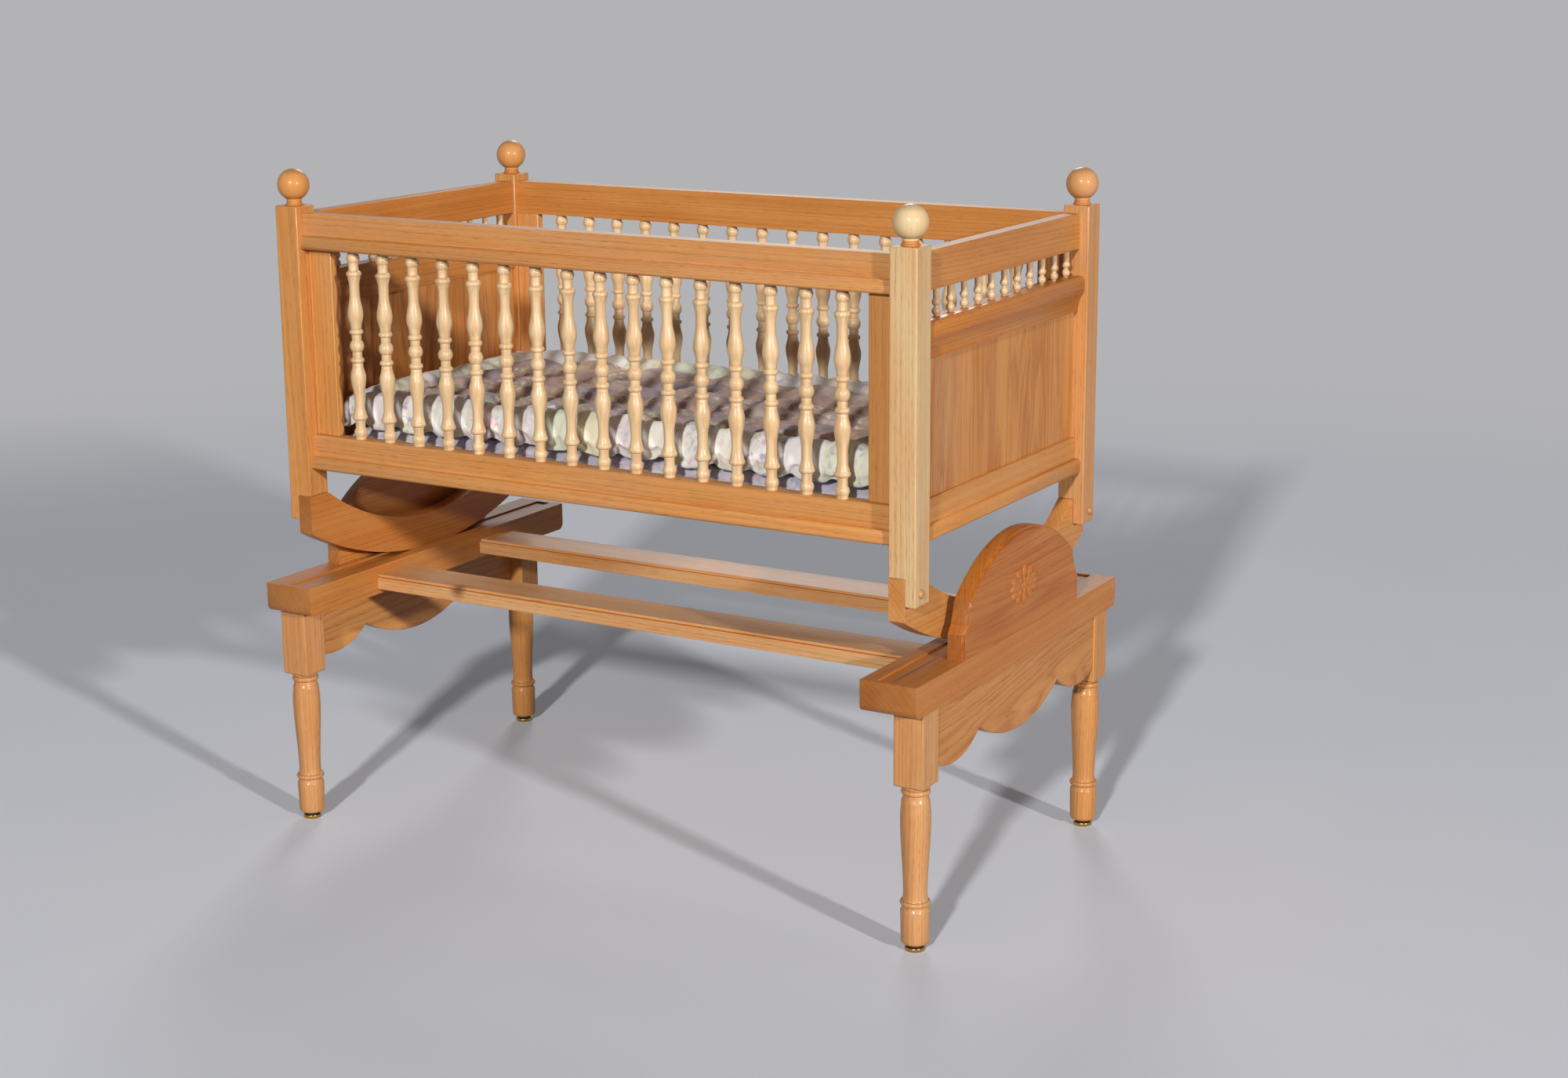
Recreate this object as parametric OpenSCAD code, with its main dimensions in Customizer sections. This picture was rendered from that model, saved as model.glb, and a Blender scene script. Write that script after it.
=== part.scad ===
// Convertible cradle: a spindle cradle on two rockers, carried in the grooves of its own stand.
// All sizes are in millimetres. X runs along the cradle, Y across it and Z up.
// The origin lies on the floor under the middle of the stand.

/* [Cradle frame] */
// Length of the cradle over the outer faces of its posts
cradle_l = 1060; // [900:10:1200]
// Width of the cradle over the outer faces of its posts
cradle_w = 574; // [500:2:660]
// Side of the square posts
post_s = 40; // [38:1:50]
// Length of a post from its foot to its flat top
post_l = 471; // [430:1:540]
// Height of the posts' feet above the lowest point of the rockers
foot_rise = 97; // [88:1:130]
// Height of the notch in a post's foot that takes the end of a rocker
notch_h = 37; // [25:1:50]
// Diameter of the ball finials
ball_d = 47; // [40:1:56]
// Height of a ball's centre above the flat top of its post
ball_rise = 30; // [27:1:38]
// Diameter of the neck under a ball
ball_neck_d = 22; // [16:1:28]
// Diameter of the collar that a ball's neck stands on
ball_collar_d = 26; // [24:1:38]
// Diameter of the round tenon under a finial
ball_tenon_d = 14; // [10:1:18]
// Length of the round tenon under a finial
ball_tenon_l = 22; // [15:1:30]

/* [Rockers] */
// Radius of the curve that the rockers stand on
rocker_r = 580; // [540:5:800]
// Thickness of a rocker
rocker_t = 24; // [18:1:27]
// Depth of a rocker at its middle
rocker_h = 53; // [45:1:70]

/* [Rails] */
// Thickness of the rails
rail_t = 22; // [18:1:24]
// Depth of a rail's face behind the posts' faces
rail_recess = 14; // [8:1:15]
// Depth of a rail's lip behind the posts' faces
lip_recess = 5; // [3:0.5:7]
// Radius on the edges of a rail's lip
lip_r = 5; // [2:0.5:8]
// Height of the two long top rails and the two long bottom rails
side_rail_h = 52; // [45:1:60]
// Height of the lip on a long rail
side_lip_h = 20; // [17:1:26]
// Height of the plain top rail at each end
end_top_h = 52; // [45:1:60]
// Height of the bottom rail at each end
end_bottom_h = 54; // [48:1:66]
// Height of the lip on an end's bottom rail
end_lip_h = 22; // [17:1:26]
// Height of the middle rail at each end
mid_rail_h = 52; // [44:1:60]
// Height of the upright face along the top of a middle rail, over the cove
nose_h = 22; // [16:1:28]
// Radius on the upper edge of a middle rail
nose_r = 7; // [4:0.5:9]
// Drop of the top rails below the flat tops of the posts
top_rail_drop = 11; // [4:1:14]
// Height of the bottom rails above the posts' feet
bottom_rail_rise = 78; // [60:1:95]
// Height of the gallery between an end's top rail and its middle rail
gallery_h = 38; // [32:1:50]
// Thickness of the tenons on the rails' ends
tenon_t = 10; // [6:1:12]
// Height that a rail stands past its tenon, above and below
tenon_shoulder = 8; // [6:1:10]
// Wood left between the two mortises that meet in a post
mortise_wall = 2; // [1.5:0.5:4]

/* [Spindles] */
// Distance from one side spindle to the next
spindle_pitch = 54.4; // [48:0.2:60]
// Least distance from a stile to the middle of the nearest side spindle
spindle_end_gap = 30; // [20:1:38]
// Largest diameter of a side spindle
spindle_d = 23; // [20:0.5:26]
// Diameter of a side spindle's thin necks
spindle_neck_d = 14.5; // [12:0.5:16]
// Diameter of a side spindle's end balls
spindle_ball_d = 19.5; // [17:0.5:22]
// Diameter of the round tenon at each end of a side spindle
spindle_tenon_d = 10; // [8:0.5:11]
// Length of the round tenon at each end of a side spindle
spindle_tenon_l = 10; // [6:1:14]
// Distance from one gallery spindle to the next
gallery_pitch = 41; // [34:0.5:46]
// Least distance from a post to the middle of the nearest gallery spindle
gallery_end_gap = 16; // [10:1:20]
// Diameter of a gallery spindle's balls
gallery_ball_d = 12; // [10:0.5:14]
// Diameter of a gallery spindle's shaft
gallery_shaft_d = 9; // [7:0.5:10]
// Diameter of the tenon at each end of a gallery spindle
gallery_tenon_d = 6; // [4:0.5:7]
// Length of the tenon at each end of a gallery spindle
gallery_tenon_l = 6; // [4:1:9]

/* [Stiles and panels] */
// Width of the flat stile at each end of a long side
stile_w = 42; // [34:1:46]
// Depth of a stile's face behind the rails' faces
stile_set = 8; // [4:0.5:12]
// Thickness of a solid end panel
panel_t = 12; // [8:1:12]
// Depth of an end panel's face behind the rails' faces
panel_set = 6; // [3:0.5:8]
// Depth that an end panel is let into its rails
panel_tongue = 6; // [3:0.5:7]

/* [Bed] */
// Thickness of the board under the mattress
board_t = 12; // [9:1:15]
// Gap from the board's edge to the long rails
board_gap = 6; // [4:0.5:10]
// Side of the square cleats that carry the board
cleat_s = 18; // [15:1:24]
// Gap from a cleat's end to the posts
cleat_end_gap = 50; // [20:5:100]
// Thickness of the mattress
mattress_h = 30; // [24:1:50]
// Gap from the mattress and the quilt to the posts at each end
bed_end_gap = 10; // [6:1:20]
// Gap from the mattress and the quilt to the posts at each side
bed_side_gap = 6; // [5:1:15]
// Thickness of the quilt at its padded border
quilt_h = 69; // [50:1:80]
// Depth of the quilt's middle below its padded border
quilt_dip = 22; // [10:1:26]
// Width of the quilt's padded border
quilt_border = 62; // [50:1:80]
// Rows of quilted squares across the cradle
quilt_rows = 3; // [2:1:4]
// Columns of quilted squares along the cradle
quilt_cols = 7; // [5:1:8]
// Depth of the sewn channels between the quilted squares
quilt_channel = 9; // [4:1:12]

/* [Stand] */
// Height of the stand's beams above the floor
stand_h = 384; // [340:2:440]
// Depth of a beam from its top to its underside
beam_h = 44; // [38:1:54]
// Width of a beam
beam_w = 84; // [76:1:96]
// Distance that a beam runs past the posts at the front and the back
beam_past = 38; // [30:1:60]
// Distance that a beam stands out past the posts at its end of the cradle
beam_out = 22; // [20:1:30]
// Radius on the lower corners of a beam's ends
beam_r = 10; // [4:1:16]
// Depth of the groove that holds a rocker
groove_d = 3; // [2:0.5:8]
// Gap between a rocker and each side of its groove
groove_gap = 1; // [0.5:0.25:2]
// Length of beam left whole at each end of the groove
groove_stop = 8; // [5:1:20]
// Side of the square blocks at the tops of the legs
leg_s = 45; // [38:1:50]
// Height of the square block at the top of a leg
leg_block_h = 105; // [90:1:120]
// Depth of the legs' outer faces inside the beams' outer faces
leg_set = 2; // [0:0.5:6]
// Distance from a beam's end to the leg under it
leg_inset = 25; // [15:1:40]
// Diameter of a leg's turned belly
leg_d = 42; // [34:1:44]
// Diameter of a leg's thinnest place
leg_waist_d = 33; // [24:1:34]
// Diameter of the round tenon on top of a leg
leg_tenon_d = 25; // [18:1:28]
// Length of the round tenon on top of a leg
leg_tenon_l = 26; // [18:1:30]
// Depth of an apron's outer face inside the legs' outer faces
apron_set = 2; // [0:0.5:6]
// Thickness of the shaped apron between two legs
apron_t = 20; // [15:1:25]
// Drop of an apron's cusps below the beam
apron_cusp = 65; // [45:1:80]
// Drop of an apron's middle lobe below the beam
apron_lobe = 101; // [85:1:110]
// Drop of an apron's ears below the beam
apron_ear = 93; // [80:1:110]
// Half the width of an apron's middle lobe
lobe_half_w = 128; // [100:2:140]
// Distance from the middle of the apron to the lowest point of an ear
ear_y = 205; // [190:1:215]
// Thickness of the rounded end boards that stand on the beams
guard_t = 25; // [18:1:28]
// Gap in Y from the posts' inner faces to the foot of an end board
guard_gap = 60; // [58:1:80]
// Height of an end board
guard_h = 144; // [135:1:150]
// Height of the upright foot of an end board
guard_foot_h = 36; // [24:1:44]
// Height of the corner where an end board's foot flare meets its arch
guard_shoulder_h = 80; // [72:1:90]
// Distance that an end board's foot flares out past its arch
guard_flare = 20; // [10:1:24]
// Size of the step moulded round the outer edge of an end board
guard_step = 4; // [2:0.5:6]
// Width of a stretcher
stretcher_w = 76; // [60:1:90]
// Thickness of a stretcher
stretcher_t = 23; // [18:1:26]
// Distance of each stretcher's middle from the middle of the stand
stretcher_y = 130; // [100:1:150]
// Drop of the stretchers below the tops of the beams
stretcher_drop = 13; // [8:1:16]
// Width and depth of the step moulded along a stretcher's upper edges
stretcher_step = 4; // [2:0.5:6]

/* [Rosettes] */
// Height of a rosette's middle above its beam
rosette_rise = 64; // [50:1:80]
// Width of a rosette's ring of petals, over their outer edges
rosette_w = 92; // [70:1:110]
// Height of a rosette's ring of petals, over their outer edges
rosette_h = 57; // [44:1:70]
// Number of petals in a rosette
rosette_petals = 12; // [8:1:16]
// Radius of a petal
petal_r = 11; // [8:0.5:14]
// Height of a petal's crown off the end board
petal_out = 2.5; // [1.5:0.5:4]
// Thickness of the ground between the petals
rosette_ground = 1; // [0.5:0.25:1.5]

/* [Fastenings] */
// Diameter of the dowels
dowel_d = 9; // [6:0.5:10]
// Length of a dowel
dowel_l = 36; // [30:2:40]
// Diameter of the counterbore for a rocker screw, closed by a button plug
plug_d = 9.5; // [8:0.5:11]
// Diameter of a button plug's domed head
plug_head_d = 13; // [12:0.5:15]
// Height of a button plug's domed head
plug_head_h = 5; // [2.5:0.5:6]
// Depth of the counterbore for a rocker screw
plug_depth = 8; // [6:0.5:9]
// Height of the rocker screws above the posts' feet
screw_rise = 17; // [12:1:20]
// Distance of the rocker screws from the posts' outer faces along the long sides
screw_inset = 15; // [12:1:20]
// Diameter of the screws' shanks
screw_d = 4.2; // [3.5:0.1:5]
// Diameter of the screws' heads
screw_head_d = 8.4; // [7:0.1:8.8]
// Height of the screws' heads
screw_head_h = 3; // [2:0.5:4]
// Number of screws that hold each cleat
cleat_screw_n = 3; // [2:1:5]
// Depth that a cleat screw goes into its rail
cleat_screw_bite = 11; // [8:0.5:15]

/* [Feet and fit] */
// Diameter of a glide's metal base
glide_d = 28; // [22:1:32]
// Height of a glide's metal base
glide_base_h = 6; // [4:0.5:8]
// Height of the dark cushion between a glide's base and its leg
glide_neck_h = 5; // [3:0.5:7]
// Diameter of the dark cushion on a glide
glide_neck_d = 22; // [16:1:24]
// Diameter of a glide's stem
glide_stem_d = 7; // [5:0.5:9]
// Length of a glide's stem in the leg
glide_stem_l = 25; // [18:1:32]
// Gap between a rocker's curve and the floor of its groove
seat_gap = 0.3; // [0.2:0.1:0.5]
// Gap round the dowels, tenons and stems in their holes
fit_gap = 0.1; // [0.05:0.05:0.3]
// Gap under the soft mattress and under the quilt
soft_gap = 0.3; // [0.2:0.1:0.5]

/* [Hidden] */
$fn = 48;

// Colours of the woods, the metal and the cloth
oak = "#C98A4B";
maple = "#E2B67C";
steel = "#B9B4A6";
brass = "#C8A24C";
dark_rubber = "#2A2622";
ticking = "#E9E4EC";
quilt_cloth = "#CFC7DA";

// Planes of the cradle
end_x = cradle_l / 2;
inner_x = end_x - post_s;
out_y = cradle_w / 2;
inner_y = out_y - post_s;
rocker_low = stand_h - groove_d + seat_gap;
pivot_z = rocker_low + rocker_r;
foot_z = rocker_low + foot_rise;
post_top = foot_z + post_l;
notch_top = foot_z + notch_h;
screw_y = out_y - screw_inset;
screw_z = foot_z + screw_rise;

// Levels of the rails
bottom_z = foot_z + bottom_rail_rise;
side_top_z = post_top - top_rail_drop - side_rail_h;
end_top_z = post_top - top_rail_drop - end_top_h;
mid_z = end_top_z - gallery_h - mid_rail_h;
side_open_h = side_top_z - bottom_z - side_rail_h;
panel_h = mid_z - bottom_z - end_bottom_h;

// Tenons, and where the middle of a rail lies behind the posts' faces
rail_mid = rail_recess + rail_t / 2;
tenon_l = post_s - rail_mid - tenon_t / 2 - mortise_wall;
side_l = 2 * inner_x;
end_l = 2 * inner_y;
panel_x = end_x - rail_recess - panel_set - panel_t;

// How many spindles fit between the stiles, and between the posts at an end
spindle_n = 1 + floor((side_l - 2 * stile_w - 2 * spindle_end_gap) / spindle_pitch);
gallery_n = 1 + floor((end_l - 2 * gallery_end_gap) / gallery_pitch);

// The arch over the middle of a rocker starts at the posts' inner faces
arch_rise = notch_top - rocker_low - rocker_h;
arch_r = (pow(inner_y, 2) + pow(arch_rise, 2)) / (2 * arch_rise);

// Planes of the stand
beam_x = end_x + beam_out;
beam_in = beam_x - beam_w;
beam_y = out_y + beam_past;
beam_z = stand_h - beam_h;
leg_x = beam_x - leg_set - leg_s / 2;
apron_x = beam_x - leg_set - apron_set - apron_t / 2;
leg_y = beam_y - leg_inset - leg_s / 2;
leg_z = beam_z - leg_block_h;
glide_h = glide_base_h + glide_neck_h;
stretcher_z = stand_h - stretcher_drop - stretcher_t / 2;
guard_x = beam_x - guard_t / 2;
guard_y = inner_y - guard_gap;
arch_y = guard_y - guard_flare;
guard_rise = guard_h - guard_shoulder_h;
guard_r = (pow(arch_y, 2) + pow(guard_rise, 2)) / (2 * guard_rise);
lobe_r = (pow(lobe_half_w, 2) + pow(apron_lobe - apron_cusp, 2)) / (2 * (apron_lobe - apron_cusp));
ear_half_w = ear_y - lobe_half_w;
ear_r = (pow(ear_half_w, 2) + pow(apron_ear - apron_cusp, 2)) / (2 * (apron_ear - apron_cusp));

// Levels of the bed
board_z = bottom_z + cleat_s;
mattress_z = board_z + board_t + soft_gap;
quilt_z = mattress_z + mattress_h + soft_gap;
bed_half_l = inner_x - bed_end_gap;
bed_half_w = inner_y - bed_side_gap;
rail_inner = out_y - rail_recess - rail_t;

// Small sizes of the turnings
bead_r = 4.5;
ring_r = 4.2;
hole_deep = 1;
block_chamfer = 3;
mattress_facets = [28, 16];
quilt_facets = [42, 24];

// Points on an arc of a turned profile, from one angle to another
function turned_arc(cr, cz, r, a0, a1, n) =
    [for (i = [0:n]) let (a = a0 + (a1 - a0) * i / n) [cr + r * cos(a), cz + r * sin(a)]];

// Points of a soft swell between two radii and two levels, ends left out
function swell(r0, z0, r1, z1, n) =
    [for (i = [1:n - 1]) let (t = i / n) [r0 + (r1 - r0) * (1 - cos(180 * t)) / 2, z0 + (z1 - z0) * t]];

// A piece built at the right back corner, shown at one of the four corners
module at_corner(sx, sy) {
    mirror([sx < 0 ? 1 : 0, 0, 0]) mirror([0, sy < 0 ? 1 : 0, 0]) children();
}

// A flat section in Y and Z, drawn out along X about the middle
module along_x(l) {
    rotate([90, 0, 90]) linear_extrude(l, center = true) children();
}

// A flat section in X and Z, drawn out along Y about the middle
module along_y(l) {
    rotate([90, 0, 0]) linear_extrude(l, center = true) children();
}

// A round pin or hole from a point along +X
module pin_x(p, d, l) {
    translate(p) rotate([0, 90, 0]) cylinder(d = d, h = l);
}

// Places of the side spindles along X
module at_spindles() {
    for (i = [0:spindle_n - 1])
        translate([(i - (spindle_n - 1) / 2) * spindle_pitch, out_y - rail_mid, 0]) children();
}

// Places of the gallery spindles along Y
module at_gallery() {
    for (i = [0:gallery_n - 1])
        translate([end_x - rail_mid, (i - (gallery_n - 1) / 2) * gallery_pitch, 0]) children();
}

// Section of a rail whose lower part stands out as a lip with round edges
module lipped_section(outer, z0, h, lip_h) {
    face = outer - rail_recess;
    lip = outer - lip_recess;
    union() {
        translate([face - rail_t, z0]) square([rail_t, h]);
        translate([face - rail_t, z0]) square([lip - lip_r - face + rail_t, lip_h]);
        translate([face - rail_t, z0 + lip_r]) square([lip - face + rail_t, lip_h - 2 * lip_r]);
        translate([lip - lip_r, z0 + lip_r]) circle(r = lip_r);
        translate([lip - lip_r, z0 + lip_h - lip_r]) circle(r = lip_r);
    }
}

// Stub tenons on both ends of a rail that runs along X
module side_tenons(z0, h) {
    translate([-side_l / 2 - tenon_l, out_y - rail_mid - tenon_t / 2, z0 + tenon_shoulder])
        cube([side_l + 2 * tenon_l, tenon_t, h - 2 * tenon_shoulder]);
}

// Stub tenons on both ends of a rail that runs along Y
module end_tenons(z0, h) {
    translate([end_x - rail_mid - tenon_t / 2, -end_l / 2 - tenon_l, z0 + tenon_shoulder])
        cube([tenon_t, end_l + 2 * tenon_l, h - 2 * tenon_shoulder]);
}

// Mortise in the right back post for a tenon of a long rail
module side_mortise(z0, h) {
    translate([inner_x - 1, out_y - rail_mid - tenon_t / 2 - fit_gap, z0 + tenon_shoulder - fit_gap])
        cube([1 + tenon_l + fit_gap, tenon_t + 2 * fit_gap, h - 2 * tenon_shoulder + 2 * fit_gap]);
}

// Mortise in the right back post for a tenon of an end rail
module end_mortise(z0, h) {
    translate([end_x - rail_mid - tenon_t / 2 - fit_gap, inner_y - 1, z0 + tenon_shoulder - fit_gap])
        cube([tenon_t + 2 * fit_gap, 1 + tenon_l + fit_gap, h - 2 * tenon_shoulder + 2 * fit_gap]);
}

// Square post with a notched foot, a counterbored screw hole and its mortises
module post() {
    color(oak) difference() {
        translate([inner_x, inner_y, foot_z]) cube([post_s, post_s, post_l]);
        translate([inner_x - 1, inner_y - 1, foot_z - 1]) cube([1 + rocker_t, post_s + 2, 1 + notch_h]);
        pin_x([inner_x, screw_y, screw_z], screw_d + 2 * fit_gap, post_s);
        pin_x([end_x - plug_depth, screw_y, screw_z], plug_d, plug_depth + 1);
        translate([end_x - post_s / 2, out_y - post_s / 2, post_top - ball_tenon_l - hole_deep])
            cylinder(d = ball_tenon_d + 2 * fit_gap, h = ball_tenon_l + hole_deep + 1);
        side_mortise(bottom_z, side_rail_h);
        side_mortise(side_top_z, side_rail_h);
        end_mortise(bottom_z, end_bottom_h);
        end_mortise(mid_z, mid_rail_h);
        end_mortise(end_top_z, end_top_h);
    }
}
module front_left_post() { at_corner(-1, -1) post(); }
module front_right_post() { at_corner(1, -1) post(); }
module back_left_post() { at_corner(-1, 1) post(); }
module back_right_post() { at_corner(1, 1) post(); }

// Ball finial with a collar, a coved neck and a round tenon, turned in one piece
module finial() {
    color(oak) translate([end_x - post_s / 2, out_y - post_s / 2, post_top]) rotate_extrude() polygon(concat(
        [[0, -ball_tenon_l], [ball_tenon_d / 2, -ball_tenon_l], [ball_tenon_d / 2, 0]],
        [[ball_collar_d / 2, 0], [ball_collar_d / 2, 1.5], [ball_collar_d / 2 - 1, 2.5]],
        [[ball_neck_d / 2, 4]],
        turned_arc(0, ball_rise, ball_d / 2, -acos(ball_neck_d / ball_d), 90, 16)));
}
module front_left_finial() { at_corner(-1, -1) finial(); }
module front_right_finial() { at_corner(1, -1) finial(); }
module back_left_finial() { at_corner(-1, 1) finial(); }
module back_right_finial() { at_corner(1, 1) finial(); }

// Long rail with its lip, its tenons and the holes for the spindles
module side_rail(z0, hole_z) {
    color(oak) difference() {
        union() {
            along_x(side_l) lipped_section(out_y, z0, side_rail_h, side_lip_h);
            side_tenons(z0, side_rail_h);
        }
        at_spindles() translate([0, 0, hole_z])
            cylinder(d = spindle_tenon_d + 2 * fit_gap, h = spindle_tenon_l + hole_deep + 1);
    }
}
module top_rail() { side_rail(side_top_z, side_top_z - 1); }
module bottom_rail() {
    difference() {
        side_rail(bottom_z, bottom_z + side_rail_h - spindle_tenon_l - hole_deep);
        at_cleat_screws() cylinder(d = screw_d + 2 * fit_gap, h = cleat_s + cleat_screw_bite + hole_deep);
    }
}
module front_top_rail() { at_corner(1, -1) top_rail(); }
module back_top_rail() { at_corner(1, 1) top_rail(); }
module front_bottom_rail() { at_corner(1, -1) bottom_rail(); }
module back_bottom_rail() { at_corner(1, 1) bottom_rail(); }

// Flat stile beside a post, between the long rails
module stile() {
    color(oak) translate([inner_x - stile_w, rail_inner, bottom_z + side_rail_h])
        cube([stile_w, rail_t - stile_set, side_open_h]);
}
module front_left_stile() { at_corner(-1, -1) stile(); }
module front_right_stile() { at_corner(1, -1) stile(); }
module back_left_stile() { at_corner(-1, 1) stile(); }
module back_right_stile() { at_corner(1, 1) stile(); }

// Upper half of a side spindle's profile, from its tenon down to its middle
half_h = side_open_h / 2;
end_ball_r = spindle_ball_d / 2;
neck_r = spindle_neck_d / 2;
belly_r = spindle_d / 2;
bead_z = half_h - spindle_ball_d - 14;
thin_z = bead_z - 13.5;
swell_z = thin_z - 16;
ring_z = 21;
belly_z = (swell_z + ring_z) / 2 - 2.5;
half_profile = concat(
    [[0, half_h + spindle_tenon_l], [spindle_tenon_d / 2, half_h + spindle_tenon_l]],
    [[spindle_tenon_d / 2, half_h], [end_ball_r * 0.81, half_h]],
    turned_arc(0, half_h - end_ball_r, end_ball_r, 36, -44, 5),
    [[neck_r, half_h - spindle_ball_d + 0.5], [neck_r, bead_z + 8.5]],
    turned_arc(belly_r - bead_r - 0.3, bead_z + 1, bead_r, 80, -45, 4),
    [[belly_r * 0.81, bead_z - 5.5], [belly_r * 0.72, bead_z - 9.5], [neck_r + 0.3, thin_z]],
    [[neck_r + 0.1, swell_z]],
    swell(neck_r + 0.1, swell_z, belly_r, belly_z, 5),
    [[belly_r, belly_z]],
    swell(belly_r, belly_z, belly_r * 0.7, ring_z + 6.5, 4),
    [[belly_r * 0.7, ring_z + 6.5]],
    turned_arc(belly_r * 0.89 - ring_r, ring_z, ring_r, 70, -70, 4),
    [[neck_r, ring_z - 6.5], [neck_r, ring_z - 10]],
    turned_arc(belly_r - 13, 0, 12.1, 44, 12, 3));
spindle_profile = concat(half_profile,
    [for (i = [len(half_profile) - 1:-1:0]) [half_profile[i][0], -half_profile[i][1]]]);

// Row of turned spindles along a long side
module spindle_row() {
    color(maple) at_spindles() translate([0, 0, side_top_z - half_h])
        rotate_extrude() polygon(spindle_profile);
}
module front_spindles() { at_corner(1, -1) spindle_row(); }
module back_spindles() { at_corner(1, 1) spindle_row(); }

// Plain top rail of an end, drilled for the gallery
module end_top_rail() {
    color(oak) difference() {
        union() {
            translate([end_x - rail_recess - rail_t, -end_l / 2, end_top_z]) cube([rail_t, end_l, end_top_h]);
            end_tenons(end_top_z, end_top_h);
        }
        at_gallery() translate([0, 0, end_top_z - 1])
            cylinder(d = gallery_tenon_d + 2 * fit_gap, h = 1 + gallery_tenon_l + hole_deep);
    }
}
module left_top_rail() { at_corner(-1, 1) end_top_rail(); }
module right_top_rail() { at_corner(1, 1) end_top_rail(); }

// Middle rail of an end: an upright face with a round upper edge, and a cove below it, over the panel
module mid_rail() {
    face = end_x - rail_recess;
    nose = end_x - lip_recess + 1;
    top = mid_z + mid_rail_h;
    color(oak) difference() {
        union() {
            along_y(end_l) {
                translate([face - rail_t, mid_z]) square([rail_t, mid_rail_h]);
                translate([face - rail_t, top - nose_h]) square([nose - nose_r - face + rail_t, nose_h]);
                translate([face - rail_t, top - nose_h]) square([nose - face + rail_t, nose_h - nose_r]);
                translate([nose - nose_r, top - nose_r]) circle(r = nose_r);
                polygon(concat([[face - rail_t / 2, top - nose_h], [face - rail_t / 2, mid_z]],
                    [for (t = [0:0.125:1])
                        [face + (nose - face) * pow(t, 2.2), mid_z + (mid_rail_h - nose_h) * t]]));
            }
            end_tenons(mid_z, mid_rail_h);
        }
        at_gallery() translate([0, 0, top - gallery_tenon_l - hole_deep])
            cylinder(d = gallery_tenon_d + 2 * fit_gap, h = gallery_tenon_l + hole_deep + 1);
        panel_groove(mid_z - 1);
    }
}
module left_mid_rail() { at_corner(-1, 1) mid_rail(); }
module right_mid_rail() { at_corner(1, 1) mid_rail(); }

// Groove for a tongue of an end panel, one millimetre past the rail's face
module panel_groove(z0) {
    translate([panel_x - fit_gap, -end_l / 2 - tenon_l - 1, z0])
        cube([panel_t + 2 * fit_gap, end_l + 2 * tenon_l + 2, 1 + panel_tongue + fit_gap]);
}

// Bottom rail of an end, with its lip and the groove for the panel
module end_bottom_rail() {
    color(oak) difference() {
        union() {
            along_y(end_l) lipped_section(end_x, bottom_z, end_bottom_h, end_lip_h);
            end_tenons(bottom_z, end_bottom_h);
        }
        panel_groove(bottom_z + end_bottom_h - panel_tongue - fit_gap);
    }
}
module left_bottom_rail() { at_corner(-1, 1) end_bottom_rail(); }
module right_bottom_rail() { at_corner(1, 1) end_bottom_rail(); }

// Row of small turned spindles between an end's top rail and its middle rail
module gallery() {
    ball_r = gallery_ball_d / 2;
    mid_ball_z = 2 * ball_r + ball_r;
    shaft_r = gallery_shaft_d / 2;
    color(maple) at_gallery() translate([0, 0, end_top_z - gallery_h]) rotate_extrude() polygon(concat(
        [[0, -gallery_tenon_l], [gallery_tenon_d / 2, -gallery_tenon_l], [gallery_tenon_d / 2, 0]],
        turned_arc(0, ball_r, ball_r, -60, 55, 4),
        turned_arc(0, mid_ball_z, ball_r, -55, 55, 4),
        [[shaft_r, mid_ball_z + ball_r + 1], [shaft_r, gallery_h]],
        [[gallery_tenon_d / 2, gallery_h], [gallery_tenon_d / 2, gallery_h + gallery_tenon_l]],
        [[0, gallery_h + gallery_tenon_l]]));
}
module left_gallery() { at_corner(-1, 1) gallery(); }
module right_gallery() { at_corner(1, 1) gallery(); }

// Solid end panel of upright boards glued edge to edge, let into the rails above and below
module end_panel() {
    color(oak) translate([panel_x, -end_l / 2, bottom_z + end_bottom_h - panel_tongue])
        cube([panel_t, end_l, panel_h + 2 * panel_tongue]);
}
module left_panel() { at_corner(-1, 1) end_panel(); }
module right_panel() { at_corner(1, 1) end_panel(); }

// Rocker: a crescent board under each end, round below and arched above
module rocker() {
    color(oak) difference() {
        intersection() {
            translate([inner_x, -out_y, rocker_low - 1])
                cube([rocker_t, cradle_w, notch_top - rocker_low + 1]);
            pin_x([inner_x - 1, 0, pivot_z], 2 * rocker_r, rocker_t + 2);
        }
        pin_x([inner_x - 1, 0, rocker_low + rocker_h + arch_r], 2 * arch_r, rocker_t + 2);
        for (s = [-1, 1])
            pin_x([inner_x - 1, s * screw_y, screw_z], screw_d + 2 * fit_gap, rocker_t + 2);
    }
}
module left_rocker() { at_corner(-1, 1) rocker(); }
module right_rocker() { at_corner(1, 1) rocker(); }

// Screws that hold the rockers in the notches, one through each post
module rocker_screws() {
    shank = post_s - plug_depth - 4;
    for (sx = [-1, 1]) for (sy = [-1, 1]) color(steel) at_corner(sx, sy) union() {
        pin_x([end_x - plug_depth - shank, screw_y, screw_z], screw_d, shank);
        pin_x([end_x - plug_depth, screw_y, screw_z], screw_head_d, screw_head_h);
    }
}

// Wooden button plugs over the rocker screws
module button_plugs() {
    stem = plug_depth - screw_head_h - 0.5;
    dome_r = (pow(plug_head_d / 2, 2) + pow(plug_head_h, 2)) / (2 * plug_head_h);
    for (sx = [-1, 1]) for (sy = [-1, 1]) color(maple) at_corner(sx, sy)
        translate([end_x, screw_y, screw_z]) rotate([0, 90, 0]) union() {
            translate([0, 0, -stem]) cylinder(d = plug_d - 2 * fit_gap, h = stem + 0.5);
            intersection() {
                translate([0, 0, plug_head_h - dome_r]) sphere(r = dome_r);
                cylinder(d = plug_head_d, h = plug_head_h + 1);
            }
        }
}

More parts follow.
